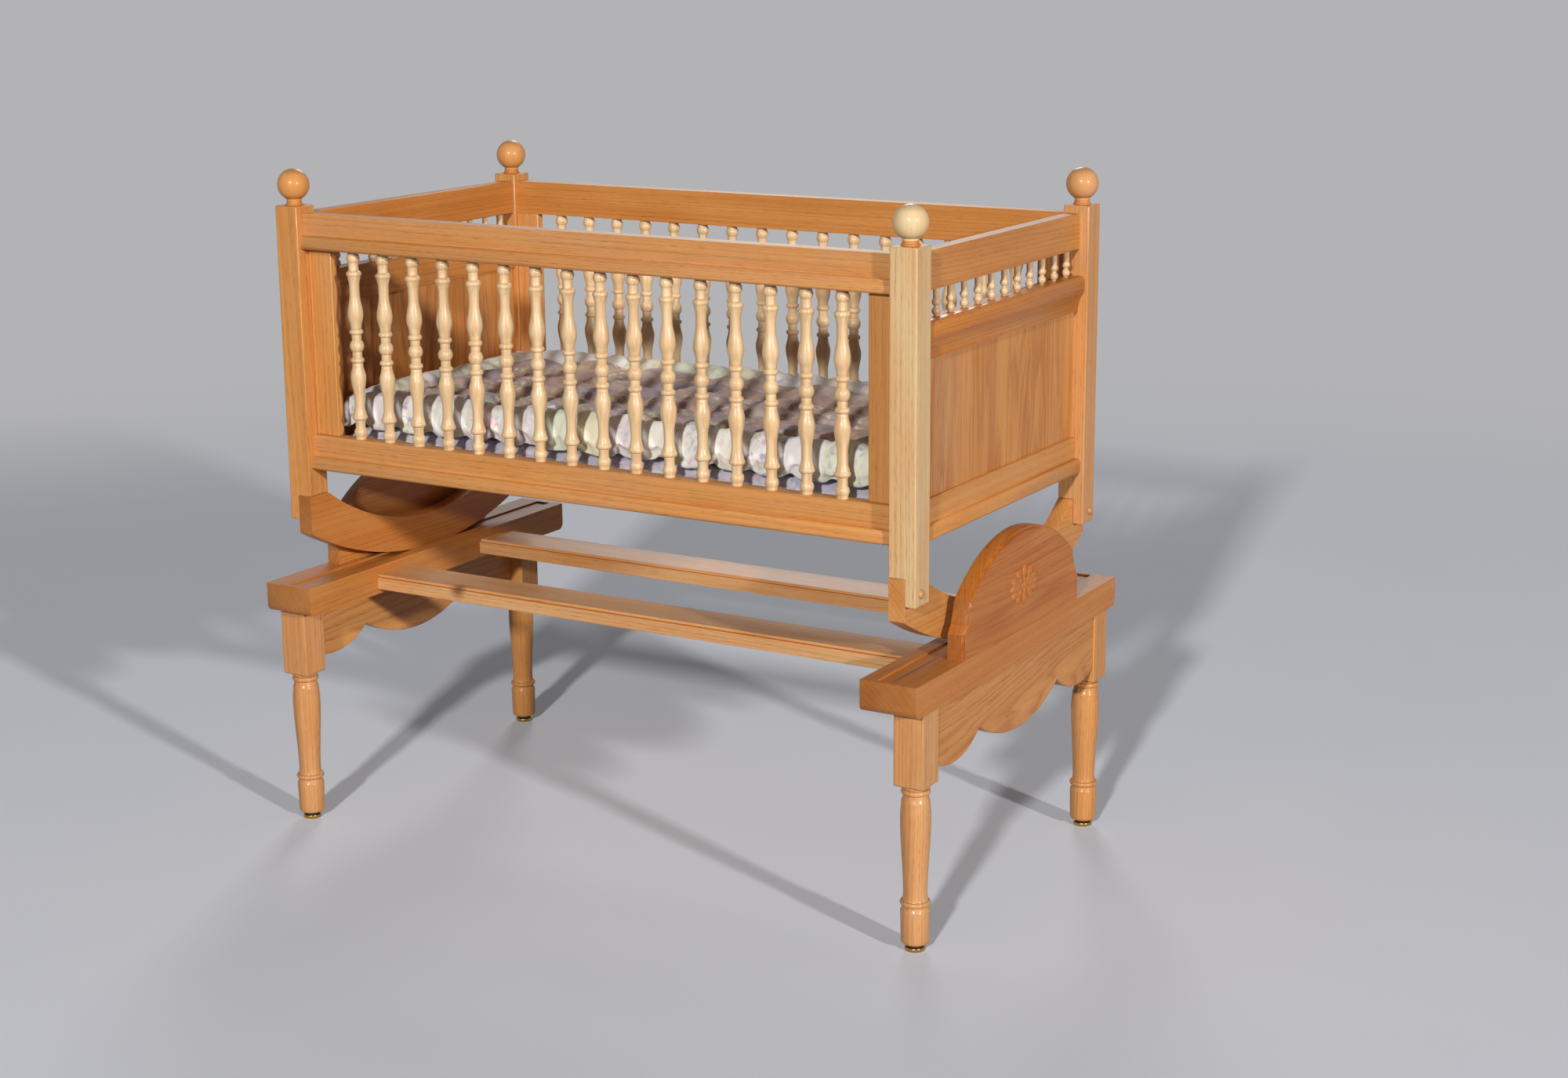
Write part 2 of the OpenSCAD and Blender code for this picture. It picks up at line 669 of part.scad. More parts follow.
// Cleats under the board, screwed to the long bottom rails
module cleat() {
    color(oak) difference() {
        translate([-inner_x + cleat_end_gap, rail_inner - cleat_s, bottom_z])
            cube([side_l - 2 * cleat_end_gap, cleat_s, cleat_s]);
        at_cleat_screws() translate([0, 0, -1]) cylinder(d = screw_d + 2 * fit_gap, h = cleat_s + 2);
        at_cleat_screws() translate([0, 0, -1])
            cylinder(d = screw_head_d + 2 * fit_gap, h = 1 + screw_head_h);
    }
}
module front_cleat() { at_corner(1, -1) cleat(); }
module back_cleat() { at_corner(1, 1) cleat(); }

// Places of the cleat screws, each pointing out from the cleat's inner face
module at_cleat_screws() {
    span = side_l - 2 * cleat_end_gap - 2 * cleat_s;
    for (i = [0:cleat_screw_n - 1])
        translate([(i / (cleat_screw_n - 1) - 0.5) * span, rail_inner - cleat_s, bottom_z + cleat_s / 2])
            rotate([-90, 0, 0]) children();
}

// Screws through the cleats into the bottom rails
module cleat_screws() {
    for (sy = [-1, 1]) color(steel) at_corner(1, sy) at_cleat_screws() union() {
        translate([0, 0, 0.2]) cylinder(d = screw_head_d, h = screw_head_h - 0.2);
        translate([0, 0, screw_head_h - 1])
            cylinder(d = screw_d, h = cleat_s + cleat_screw_bite - screw_head_h + 1);
    }
}

// Board that lies on the cleats and carries the mattress
module bed_board() {
    half_w = rail_inner - board_gap;
    color(oak) translate([-inner_x + 1, -half_w, board_z]) cube([side_l - 2, 2 * half_w, board_t]);
}

// Crown of a soft pad: full inside, falling to its rim at u or v of one
function crown(u, v) = pow(max(0, (1 - pow(abs(u), 14)) * (1 - pow(abs(v), 9))), 0.5);

// How far a pad's sides draw in between its corners
function draw_in(t, depth) = depth * (1 - pow(t, 4));

// Places of the lines on a pad's grid, closer together near the rim
function grid_line(i, n) = let (t = 2 * i / n - 1) 0.55 * t + 0.45 * sin(90 * t);

// Closed pad on a flat base, from a grid of levels that a formula gives
module pad(half_l, half_w, base_z, levels, rim) {
    nx = len(levels) - 1;
    ny = len(levels[0]) - 1;
    function at(i, j) = i * (ny + 1) + j;
    top = [for (i = [0:nx]) for (j = [0:ny]) let (u = grid_line(i, nx), v = grid_line(j, ny))
        [(half_l - draw_in(v, 5)) * u, (half_w - draw_in(u, 3)) * v, base_z + levels[i][j]]];
    upper = [for (i = [0:nx - 1]) for (j = [0:ny - 1]) for (k = [0, 1])
        k == 0 ? [at(i, j), at(i, j + 1), at(i + 1, j + 1)] : [at(i, j), at(i + 1, j + 1), at(i + 1, j)]];
    outline = concat([for (j = [0:ny - 1]) at(0, j)], [for (i = [0:nx - 1]) at(i, ny)],
        [for (j = [ny:-1:1]) at(nx, j)], [for (i = [nx:-1:1]) at(i, 0)]);
    count = len(top);
    turn = len(outline);
    low = [for (k = outline)
        [top[k][0] * (1 - rim / 3 / half_l), top[k][1] * (1 - rim / 3 / half_w), base_z]];
    sides = [for (k = [0:turn - 1]) for (h = [0, 1]) let (n = (k + 1) % turn)
        h == 0 ? [outline[n], outline[k], count + k] : [outline[n], count + k, count + n]];
    base = [for (k = [0:turn - 1]) [count + turn, count + (k + 1) % turn, count + k]];
    polyhedron(points = concat(top, low, [[0, 0, base_z]]), faces = concat(upper, sides, base));
}

// Mattress: a thin foam pad in a ticking cover, crowned on top
module mattress() {
    rim = mattress_h * 0.55;
    color(ticking) pad(bed_half_l, bed_half_w, mattress_z,
        [for (i = [0:mattress_facets[0]]) [for (j = [0:mattress_facets[1]])
            let (u = grid_line(i, mattress_facets[0]), v = grid_line(j, mattress_facets[1]))
            rim + (mattress_h - rim) * crown(u, v)]], rim);
}

// Depth of the sewn channels between the squares in the middle of the quilt
function sewn(u, v) =
    min(1, pow(abs(cos(90 * quilt_cols * (u + 1))), 6) + pow(abs(cos(90 * quilt_rows * (v + 1))), 6));

// How far a place on the quilt lies inside the padded border, from none to one
function inside_border(u, v) =
    let (reach = min(bed_half_l * (1 - abs(u)), bed_half_w * (1 - abs(v))) / quilt_border)
    (1 - cos(180 * max(0, min(1, 2 * reach - 1)))) / 2;

// Quilt: a padded border round a lower middle that is sewn into squares
module quilt() {
    rim = quilt_h * 0.4;
    color(quilt_cloth) pad(bed_half_l, bed_half_w, quilt_z,
        [for (i = [0:quilt_facets[0]]) [for (j = [0:quilt_facets[1]])
            let (u = grid_line(i, quilt_facets[0]), v = grid_line(j, quilt_facets[1]))
            rim + (quilt_h - rim) * crown(u, v)
                - inside_border(u, v) * (quilt_dip - quilt_channel + quilt_channel * sewn(u, v))]], rim);
}

// Beam across an end of the stand, with the stopped groove for a rocker
module beam() {
    groove_w = rocker_t + 2 * groove_gap;
    groove_l = 2 * (beam_y - groove_stop);
    color(oak) difference() {
        translate([beam_in + beam_w / 2, 0, 0]) along_x(beam_w) union() {
            translate([-beam_y, beam_z + beam_r]) square([2 * beam_y, beam_h - beam_r]);
            translate([-beam_y + beam_r, beam_z]) square([2 * beam_y - 2 * beam_r, beam_h]);
            for (s = [-1, 1]) translate([s * (beam_y - beam_r), beam_z + beam_r]) circle(r = beam_r);
        }
        translate([inner_x - groove_gap, -groove_l / 2, stand_h - groove_d])
            cube([groove_w, groove_l, groove_d + 1]);
        for (s = [-1, 1]) translate([leg_x, s * leg_y, beam_z - 1])
            cylinder(d = leg_tenon_d + 2 * fit_gap, h = 1 + leg_tenon_l + hole_deep);
        at_guard_dowels() translate([0, 0, -dowel_l / 2 - hole_deep])
            cylinder(d = dowel_d + 2 * fit_gap, h = dowel_l / 2 + hole_deep + 1);
        at_stretcher_dowels() translate([0, 0, -1])
            cylinder(d = dowel_d + 2 * fit_gap, h = 1 + dowel_l / 2 + hole_deep);
    }
}
module left_beam() { at_corner(-1, 1) beam(); }
module right_beam() { at_corner(1, 1) beam(); }

// Places of the upright dowels between an end board and its beam
module at_guard_dowels() {
    for (s = [-1, 1]) translate([guard_x, s * guard_y * 0.6, stand_h]) children();
}

// Places of the level dowels between a beam and the stretchers, pointing into the beam
module at_stretcher_dowels() {
    for (sy = [-1, 1]) for (k = [-1, 1])
        translate([beam_in, sy * stretcher_y + k * stretcher_w / 4, stretcher_z])
            rotate([0, 90, 0]) children();
}

// Leg: a square block, then a bead, a long vase, a waist, an ankle ring and a round foot
module leg() {
    block_r = leg_s / 2;
    belly = leg_d / 2;
    waist = leg_waist_d / 2;
    ankle_z = glide_h + 58;
    waist_z = ankle_z + 12;
    bead_low = leg_z - 14;
    belly_top = bead_low - 30;
    foot_r = belly * 0.94;
    color(oak) translate([leg_x, leg_y, 0]) difference() {
        union() {
            translate([-block_r, -block_r, leg_z]) cube([leg_s, leg_s, leg_block_h]);
            translate([0, 0, beam_z - 1]) cylinder(d = leg_tenon_d, h = 1 + leg_tenon_l);
            rotate_extrude() polygon(concat(
                [[0, leg_z + 1], [block_r - block_chamfer, leg_z + 1], [block_r - block_chamfer, leg_z - 3]],
                turned_arc(belly - bead_r, bead_low + 5, bead_r, 65, -65, 3),
                [[belly - 3, bead_low - 2], [belly - 3, bead_low - 5], [belly - 1.2, bead_low - 7]],
                swell(belly - 1.2, bead_low - 7, belly, belly_top, 3),
                [[belly, belly_top]],
                swell(belly, belly_top, waist, waist_z, 8),
                [[waist, waist_z], [waist + 0.5, ankle_z + 7]],
                turned_arc(belly - 4, ankle_z, 4, 70, -70, 4),
                [[waist + 1.5, ankle_z - 6], [foot_r + 0.4, ankle_z - 10]],
                [[foot_r - 0.8, glide_h + 2], [foot_r - 2.5, glide_h], [0, glide_h]]));
        }
        translate([0, 0, glide_h - 1])
            cylinder(d = glide_stem_d + 2 * fit_gap, h = 1 + glide_stem_l + hole_deep);
    }
}
module front_left_leg() { at_corner(-1, -1) leg(); }
module front_right_leg() { at_corner(1, -1) leg(); }
module back_left_leg() { at_corner(-1, 1) leg(); }
module back_right_leg() { at_corner(1, 1) leg(); }

// Glide: a domed metal base, a dark cushion and a stem pressed into the leg
module glide() {
    base_r = glide_d / 2;
    color(brass) translate([leg_x, leg_y, 0]) rotate_extrude() polygon(concat(
        [[0, 0], [base_r - 2, 0]],
        turned_arc(base_r - 2, 2, 2, -90, 0, 2),
        [[base_r, glide_base_h - 1], [base_r - 1, glide_base_h], [glide_neck_d / 2, glide_base_h]],
        [[glide_neck_d / 2, glide_h], [glide_stem_d / 2, glide_h]],
        [[glide_stem_d / 2, glide_h + glide_stem_l], [0, glide_h + glide_stem_l]]));
}
module front_left_glide() { at_corner(-1, -1) glide(); }
module front_right_glide() { at_corner(1, -1) glide(); }
module back_left_glide() { at_corner(-1, 1) glide(); }
module back_right_glide() { at_corner(1, 1) glide(); }

// Apron between the legs, its lower edge cut to two ears and a middle lobe
module apron() {
    half = leg_y - leg_s / 2;
    cusp_z = beam_z - apron_cusp;
    color(oak) translate([apron_x, 0, 0]) along_x(apron_t) union() {
        translate([-half, cusp_z]) square([2 * half, apron_cusp]);
        intersection() {
            translate([0, beam_z - apron_lobe + lobe_r]) circle(r = lobe_r);
            translate([-lobe_half_w, beam_z - apron_lobe])
                square([2 * lobe_half_w, apron_lobe - apron_cusp + 1]);
        }
        for (s = [-1, 1]) intersection() {
            translate([s * ear_y, beam_z - apron_ear + ear_r]) circle(r = ear_r);
            translate([s > 0 ? lobe_half_w : -half, beam_z - apron_ear])
                square([half - lobe_half_w, apron_ear - apron_cusp + 1]);
        }
    }
}
module left_apron() { at_corner(-1, 1) apron(); }
module right_apron() { at_corner(1, 1) apron(); }

// Outline of an end board in Y and Z, drawn in by one step from its edge
module guard_outline(step) {
    foot = guard_y - step;
    arch = arch_y - step;
    shoulder = stand_h + guard_shoulder_h;
    flare_h = guard_shoulder_h - guard_foot_h;
    flare = [for (t = [0:0.25:1]) [foot - (foot - arch) * pow(t, 0.6), stand_h + guard_foot_h + flare_h * t]];
    intersection() {
        translate([0, stand_h + guard_h - guard_r]) circle(r = guard_r - step);
        polygon(concat([[-foot, stand_h], [foot, stand_h]], flare,
            [[arch, stand_h + guard_h], [-arch, stand_h + guard_h]],
            [for (i = [len(flare) - 1:-1:0]) [-flare[i][0], flare[i][1]]]));
    }
}

// End board that stands on a beam beside a rocker and keeps it in its groove
module guard() {
    color(oak) difference() {
        union() {
            translate([guard_x - guard_step / 2, 0, 0]) along_x(guard_t - guard_step) guard_outline(0);
            translate([guard_x, 0, 0]) along_x(guard_t) guard_outline(guard_step);
        }
        at_guard_dowels() translate([0, 0, -1])
            cylinder(d = dowel_d + 2 * fit_gap, h = 1 + dowel_l / 2 + hole_deep);
    }
}
module left_guard() { at_corner(-1, 1) guard(); }
module right_guard() { at_corner(1, 1) guard(); }

// Dowels that locate the end boards on the beams
module guard_dowels() {
    for (sx = [-1, 1]) color(maple) at_corner(sx, 1) at_guard_dowels()
        translate([0, 0, -dowel_l / 2]) cylinder(d = dowel_d, h = dowel_l);
}

// Carved rosette: an oval ring of domed petals over a thin ground, applied to an end board
module rosette() {
    petal_sphere_r = (pow(petal_r, 2) + pow(petal_out, 2)) / (2 * petal_out);
    petals_z = rosette_h / 2 - petal_r;
    petals_y = rosette_w / 2 - petal_r;
    ground_r = petals_z + petal_r / 3;
    color(oak) translate([beam_x, 0, stand_h + rosette_rise]) rotate([0, 90, 0]) {
        translate([-ground_r, petals_z - petals_y, 0])
            cube([2 * ground_r, 2 * (petals_y - petals_z), rosette_ground]);
        for (sy = [-1, 1]) translate([0, sy * (petals_y - petals_z), 0])
            cylinder(r = ground_r, h = rosette_ground);
        for (i = [0:rosette_petals - 1]) let (a = 360 * i / rosette_petals)
            translate([petals_z * cos(a), petals_y * sin(a), 0]) rotate_extrude() intersection() {
                translate([0, petal_out - petal_sphere_r]) circle(r = petal_sphere_r);
                square([petal_r + 1, petal_out + 1]);
            }
    }
}
module left_rosette() { at_corner(-1, 1) rosette(); }
module right_rosette() { at_corner(1, 1) rosette(); }

// Stretcher between the beams, with a step moulded along its upper edges
module stretcher() {
    top = stand_h - stretcher_drop;
    color(oak) difference() {
        union() {
            translate([-beam_in, stretcher_y - stretcher_w / 2, top - stretcher_t])
                cube([2 * beam_in, stretcher_w, stretcher_t - stretcher_step]);
            translate([-beam_in, stretcher_y - stretcher_w / 2 + stretcher_step, top - stretcher_t])
                cube([2 * beam_in, stretcher_w - 2 * stretcher_step, stretcher_t]);
        }
        for (sx = [-1, 1]) at_corner(sx, 1) at_stretcher_dowels() translate([0, 0, -dowel_l / 2 - hole_deep])
            cylinder(d = dowel_d + 2 * fit_gap, h = dowel_l / 2 + hole_deep + 1);
    }
}
module front_stretcher() { at_corner(1, -1) stretcher(); }
module back_stretcher() { at_corner(1, 1) stretcher(); }

// Dowels that hold the stretchers between the beams
module stretcher_dowels() {
    for (sx = [-1, 1]) color(maple) at_corner(sx, 1) at_stretcher_dowels()
        translate([0, 0, -dowel_l / 2]) cylinder(d = dowel_d, h = dowel_l);
}

left_beam();
right_beam();
front_left_leg();
front_right_leg();
back_left_leg();
back_right_leg();
front_left_glide();
front_right_glide();
back_left_glide();
back_right_glide();
left_apron();
right_apron();
left_guard();
right_guard();
left_rosette();
right_rosette();
guard_dowels();
front_stretcher();
back_stretcher();
stretcher_dowels();
front_left_post();
front_right_post();
back_left_post();
back_right_post();
front_left_finial();
front_right_finial();
back_left_finial();
back_right_finial();
front_top_rail();
back_top_rail();
front_bottom_rail();
back_bottom_rail();
front_left_stile();
front_right_stile();
back_left_stile();
back_right_stile();
front_spindles();
back_spindles();
left_top_rail();
right_top_rail();
left_mid_rail();
right_mid_rail();
left_bottom_rail();
right_bottom_rail();
left_gallery();
right_gallery();
left_panel();
right_panel();
left_rocker();
right_rocker();
rocker_screws();
button_plugs();
front_cleat();
back_cleat();
cleat_screws();
bed_board();
mattress();
quilt();
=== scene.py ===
import bmesh
import bpy
import math
import numpy as np
from mathutils import Matrix, Vector


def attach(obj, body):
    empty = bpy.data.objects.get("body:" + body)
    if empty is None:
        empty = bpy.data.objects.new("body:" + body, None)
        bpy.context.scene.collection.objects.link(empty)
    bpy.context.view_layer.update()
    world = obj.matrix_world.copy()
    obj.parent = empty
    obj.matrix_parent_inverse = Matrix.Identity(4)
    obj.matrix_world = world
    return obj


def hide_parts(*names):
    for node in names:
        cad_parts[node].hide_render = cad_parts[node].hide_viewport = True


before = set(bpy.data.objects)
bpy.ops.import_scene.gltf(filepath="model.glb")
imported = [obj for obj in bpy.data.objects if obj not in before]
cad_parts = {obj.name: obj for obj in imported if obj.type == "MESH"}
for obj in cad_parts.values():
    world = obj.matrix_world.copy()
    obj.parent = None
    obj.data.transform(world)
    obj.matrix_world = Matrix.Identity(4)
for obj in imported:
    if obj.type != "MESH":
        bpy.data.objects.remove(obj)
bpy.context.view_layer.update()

# Named sizes are in millimetres, unless their line says otherwise.
MM = 0.001
ENDS, SIDES = (("left", -1), ("right", 1)), (("front", -1), ("back", 1))


# The camera stands a little over eye level for someone sitting, off the right front corner.
# Its place, its turn and its lens were solved from the photograph's perspective.

AZIMUTH, ELEVATION, ROLL = 0.5321, 0.2348, -0.00663
level = Vector((math.cos(AZIMUTH), math.sin(AZIMUTH), 0))
ahead = Vector((-math.sin(AZIMUTH) * math.cos(ELEVATION),
                math.cos(AZIMUTH) * math.cos(ELEVATION), -math.sin(ELEVATION)))
above = level.cross(ahead)
right = level * math.cos(ROLL) + above * math.sin(ROLL)
up = above * math.cos(ROLL) - level * math.sin(ROLL)

lens = bpy.data.cameras.new("camera")
lens.sensor_width = 36
lens.lens = 57.81
lens.shift_x, lens.shift_y = -0.00075, -0.01175
lens.clip_end = 200
camera = bpy.data.objects.new("camera", lens)
camera.matrix_world = Matrix((right, up, -ahead)).transposed().to_4x4()
camera.location = (1.9879, -3.0954, 1.3541)
bpy.context.scene.collection.objects.link(camera)
bpy.context.scene.camera = camera
bpy.context.scene.view_settings.view_transform = "Standard"


# A seamless grey paper floor, wide enough that its far edge lies outside every view.
# Two soft boxes far off, one in front and one off the right end, so that the paper is lit
# evenly, a weak wide one behind, and a pale fill.


def paint(colour):
    """A linear colour from an sRGB hex value."""
    parts = [int(colour[i:i + 2], 16) / 255 for i in (1, 3, 5)]
    return tuple(c / 12.92 if c <= 0.04045 else ((c + 0.055) / 1.055) ** 2.4 for c in parts) + (1,)


def add(tree, kind, links=None, **settings):
    """A node with its settings, and its inputs set to values or linked to other nodes' outputs."""
    node = tree.nodes.new("ShaderNode" + kind)
    for key, value in settings.items():
        setattr(node, key, value)
    for key, value in (links or {}).items():
        if isinstance(value, bpy.types.NodeSocket):
            tree.links.new(value, node.inputs[key])
        else:
            node.inputs[key].default_value = value
    return node


def material(name):
    """An empty material and its tree, with a shader joined to the output."""
    made = bpy.data.materials.new(name)
    made.use_nodes = True
    tree = made.node_tree
    tree.nodes.clear()
    shader = add(tree, "BsdfPrincipled")
    add(tree, "OutputMaterial", {"Surface": shader.outputs["BSDF"]})
    return made, tree, shader


def calc(tree, how, *values):
    """The outcome of a sum on numbers."""
    return add(tree, "Math", dict(enumerate(values)), operation=how).outputs[0]


def vector(tree, how, *values):
    """The outcome of a sum on vectors: a vector, or a number for a length or a distance."""
    outputs = add(tree, "VectorMath", dict(enumerate(values)), operation=how).outputs
    return outputs["Value" if how in ("LENGTH", "DISTANCE") else "Vector"]


def scaled(tree, value, factor):
    """A vector or a colour times a number."""
    return add(tree, "VectorMath", {0: value, "Scale": factor}, operation="SCALE").outputs["Vector"]


def remap(tree, value, from_min=0.0, from_max=1.0, to_min=0.0, to_max=1.0, **settings):
    """A number moved from one range to another and held inside it."""
    limits = {"From Min": from_min, "From Max": from_max, "To Min": to_min, "To Max": to_max}
    return add(tree, "MapRange", {"Value": value, **limits}, **settings).outputs["Result"]


def mix(tree, factor, first, second, how="MIX"):
    """Two colours mixed by a factor, or blended in another way."""
    mixed = add(tree, "Mix", {"Factor": factor, "A": first, "B": second}, data_type="RGBA", blend_type=how)
    return mixed.outputs["Result"]


def noise(tree, place, scale=1.0, detail=2.0, roughness=0.5, output="Fac"):
    """Noise at a place, as a number or as a colour."""
    inputs = {"Vector": place, "Scale": scale, "Detail": detail, "Roughness": roughness}
    return add(tree, "TexNoise", inputs).outputs[output]


def ramp(tree, factor, stops, steps=False):
    """The colour that a factor picks from stops, each a position and a colour, with soft or
    hard changes between them."""
    picked = add(tree, "ValToRGB", {"Fac": factor})
    picked.color_ramp.interpolation = "CONSTANT" if steps else "LINEAR"
    elements = picked.color_ramp.elements
    for element, (position, colour) in zip(elements[:], stops):
        element.position, element.color = position, colour
    for position, colour in stops[2:]:
        elements.new(position).color = colour
    return picked.outputs["Color"]


def seen(tree):
    """One for what the camera sees, directly, in a reflection or through glass, or else nought."""
    path = add(tree, "LightPath").outputs
    either = calc(tree, "MAXIMUM", path["Is Camera Ray"], path["Is Glossy Ray"])
    return calc(tree, "MAXIMUM", either, path["Is Transmission Ray"])


BACKDROP = paint("#B3B3B5")
SWEEP_NEAR, SWEEP_FAR = 2.3, 4.4  # metres from the object's middle

# Seamless paper: matt, with a faint unevenness from handling, about 300 mm across. Far from
# the object the camera sees it as one even grey, as a lit studio sweep looks, and it throws
# less light back on the object than its own paleness would.
paper, tree, shader = material("seamless_paper")
place = add(tree, "TexCoord").outputs["Object"]
shade = ramp(tree, noise(tree, place, 3.0), ((0, paint("#DDE1EB")), (1, paint("#E2E6F0"))))
shade = mix(tree, seen(tree), paint("#8E8E94"), shade)
tree.links.new(shade, shader.inputs["Base Color"])
shader.inputs["Roughness"].default_value = 0.9
shader.inputs["Specular IOR Level"].default_value = 0.2
away = vector(tree, "LENGTH", place)
away = remap(tree, away, SWEEP_NEAR, SWEEP_FAR, interpolation_type="SMOOTHSTEP")
away = calc(tree, "MULTIPLY", away, seen(tree))
glow = add(tree, "Emission", {"Color": BACKDROP}).outputs["Emission"]
both = add(tree, "MixShader", {0: away, 1: shader.outputs["BSDF"], 2: glow}).outputs["Shader"]
output = next(node for node in tree.nodes if node.type == "OUTPUT_MATERIAL")
tree.links.new(both, output.inputs["Surface"])

bm = bmesh.new()
bmesh.ops.create_grid(bm, x_segments=1, y_segments=1, size=60)
floor_mesh = bpy.data.meshes.new("floor")
bm.to_mesh(floor_mesh)
bm.free()
floor_mesh.materials.append(paper)
floor = bpy.data.objects.new("floor", floor_mesh)
bpy.context.scene.collection.objects.link(floor)


def soft_box(name, spot, target, size, power, colour):
    """A square lamp at a spot, facing a target."""
    lamp = bpy.data.lights.new(name, "AREA")
    lamp.size = size
    lamp.energy = power
    lamp.color = paint(colour)[:3]
    holder = bpy.data.objects.new(name, lamp)
    holder.location = spot
    holder.rotation_euler = (Vector(target) - Vector(spot)).to_track_quat("-Z", "Y").to_euler()
    bpy.context.scene.collection.objects.link(holder)


AIM = (0, 0, 0.55)
soft_box("front_soft_box", (3.6, -13, 5.9), AIM, 0.7, 1450, "#FFFDFA")
soft_box("end_soft_box", (17.5, -7.25, 5.55), AIM, 0.8, 2580, "#FFFCF8")
soft_box("back_soft_box", (-5.5, 10, 6.5), AIM, 3, 340, "#FFFDFA")

world = bpy.data.worlds.new("fill")
world.use_nodes = True
tree = world.node_tree
tree.nodes.clear()
fill = add(tree, "Background", {"Color": paint("#EEF0F6"), "Strength": 0.065}).outputs["Background"]
sky = add(tree, "Background", {"Color": BACKDROP}).outputs["Background"]
both = add(tree, "MixShader", {0: seen(tree), 1: fill, 2: sky}).outputs["Shader"]
add(tree, "OutputWorld", {"Surface": both})
bpy.context.scene.world = world


# The stand's two beams: planed oak, 44 x 84 mm, with rounded lower corners and eased edges.
# A stopped groove in the top of each guides a rocker, and the legs' tenons go in from below.


LINE_PITCH = 0.0046  # metres
LINE_TINT, END_TINT = (0.7, 0.57, 0.46, 1), (0.72, 0.72, 0.82, 1)


def stretch(tree, place, along, across):
    """A place scaled along the grain and across it."""
    return add(tree, "Mapping", {"Vector": place, "Scale": (along, across, across)}).outputs["Vector"]


def varnished_oak(name, knot=None, lines=1.0):
    """Red oak under clear satin varnish: growth lines about 5 mm apart that wander along the
    board, open pores drawn as dashes, and a thin coat that gives long highlights. Boards run
    from deep orange to pale straw, and their end grain is darker and redder. A close-grained
    turning has fainter lines, and a knot is a dark spot at a place in the scene."""
    made, tree, shader = material(name)
    laid = add(tree, "Attribute", attribute_name="grain").outputs["Vector"]
    marks = add(tree, "Attribute", attribute_name="board").outputs["Color"]
    marks = add(tree, "SeparateColor", {"Color": marks}).outputs
    tone, end, figure = marks["Red"], marks["Green"], marks["Blue"]

    sway = noise(tree, stretch(tree, laid, 2.2, 16), output="Color")
    sway = vector(tree, "SUBTRACT", sway, (0.5, 0.5, 0.5))
    sway = scaled(tree, sway, remap(tree, figure, to_min=0.007, to_max=0.034))
    bent = vector(tree, "MULTIPLY_ADD", sway, (0, 1, 1), laid)
    ring = vector(tree, "LENGTH", vector(tree, "MULTIPLY", bent, (0, 1, 1)))
    ring = calc(tree, "MULTIPLY", ring, 1 / LINE_PITCH)
    uneven = add(tree, "TexNoise", {"W": ring, "Scale": 0.45, "Detail": 1.0}, noise_dimensions="1D")
    ring = calc(tree, "FRACT", calc(tree, "MULTIPLY_ADD", uneven.outputs["Fac"], 2.2, ring))
    early = ramp(tree, ring, [(position, (value, value, value, 1)) for position, value in (
        (0, 0.15), (0.2, 1), (0.42, 0.6), (0.72, 0.15), (1, 0.15))])
    fibre = noise(tree, stretch(tree, bent, 6, 420), detail=3.0, roughness=0.6)
    dash = remap(tree, noise(tree, stretch(tree, laid, 55, 1100), detail=1.0), 0.56, 0.68)
    band = noise(tree, stretch(tree, bent, 1.6, 45), detail=3.0)
    patch = remap(tree, noise(tree, stretch(tree, laid, 5, 22)), 0.3, 0.7, -0.09, 0.09)

    dark = calc(tree, "MULTIPLY", early, remap(tree, fibre, 0.3, 0.7, 0.2, 0.75))
    dark = calc(tree, "ADD", band, dark)
    dark = calc(tree, "MULTIPLY_ADD", fibre, 0.35, dark)
    dark = remap(tree, dark, 0.45, 1.45, to_max=lines)
    dark = calc(tree, "MULTIPLY", dark, calc(tree, "MULTIPLY_ADD", figure, 0.6, 0.8))
    wood = ramp(tree, calc(tree, "ADD", tone, patch), [(position, paint(colour)) for position, colour in (
        (0, "#C0742F"), (0.2, "#C88543"), (0.4, "#D49553"),
        (0.55, "#D19760"), (0.8, "#DBB17F"), (1, "#DEC597"))])
    wood = mix(tree, dark, wood, LINE_TINT, "MULTIPLY")
    pores = calc(tree, "MULTIPLY_ADD", early, 0.34 * lines, 0.1 * lines)
    pores = calc(tree, "MULTIPLY", pores, dash)
    wood = mix(tree, pores, wood, paint("#7A4622"))
    if knot:
        near = vector(tree, "DISTANCE", add(tree, "TexCoord").outputs["Object"], knot)
        near = calc(tree, "MULTIPLY_ADD", fibre, 0.008, near)
        wood = mix(tree, remap(tree, near, 0.008, 0.022, 0.75, 0.0), wood, paint("#5E3216"))
    wood = mix(tree, end, wood, END_TINT, "MULTIPLY")
    tree.links.new(wood, shader.inputs["Base Color"])
    tree.links.new(remap(tree, fibre, to_min=0.34, to_max=0.5), shader.inputs["Roughness"])
    shader.inputs["Specular IOR Level"].default_value = 0.22
    shader.inputs["Coat Weight"].default_value = 0.16
    shader.inputs["Coat Roughness"].default_value = 0.13
    dent = calc(tree, "MULTIPLY", pores, -1.0)
    bump = add(tree, "Bump", {"Height": dent, "Strength": 0.3, "Distance": 0.0002})
    tree.links.new(bump.outputs["Normal"], shader.inputs["Normal"])
    return made


oak = varnished_oak("varnished_red_oak")


def read(items, field, width=1, kind=float):
    """One field of a mesh's vertices, corners or faces, as an array."""
    values = np.empty(len(items) * width, kind)
    items.foreach_get(field, values)
    return values.reshape(-1, width) if width > 1 else values


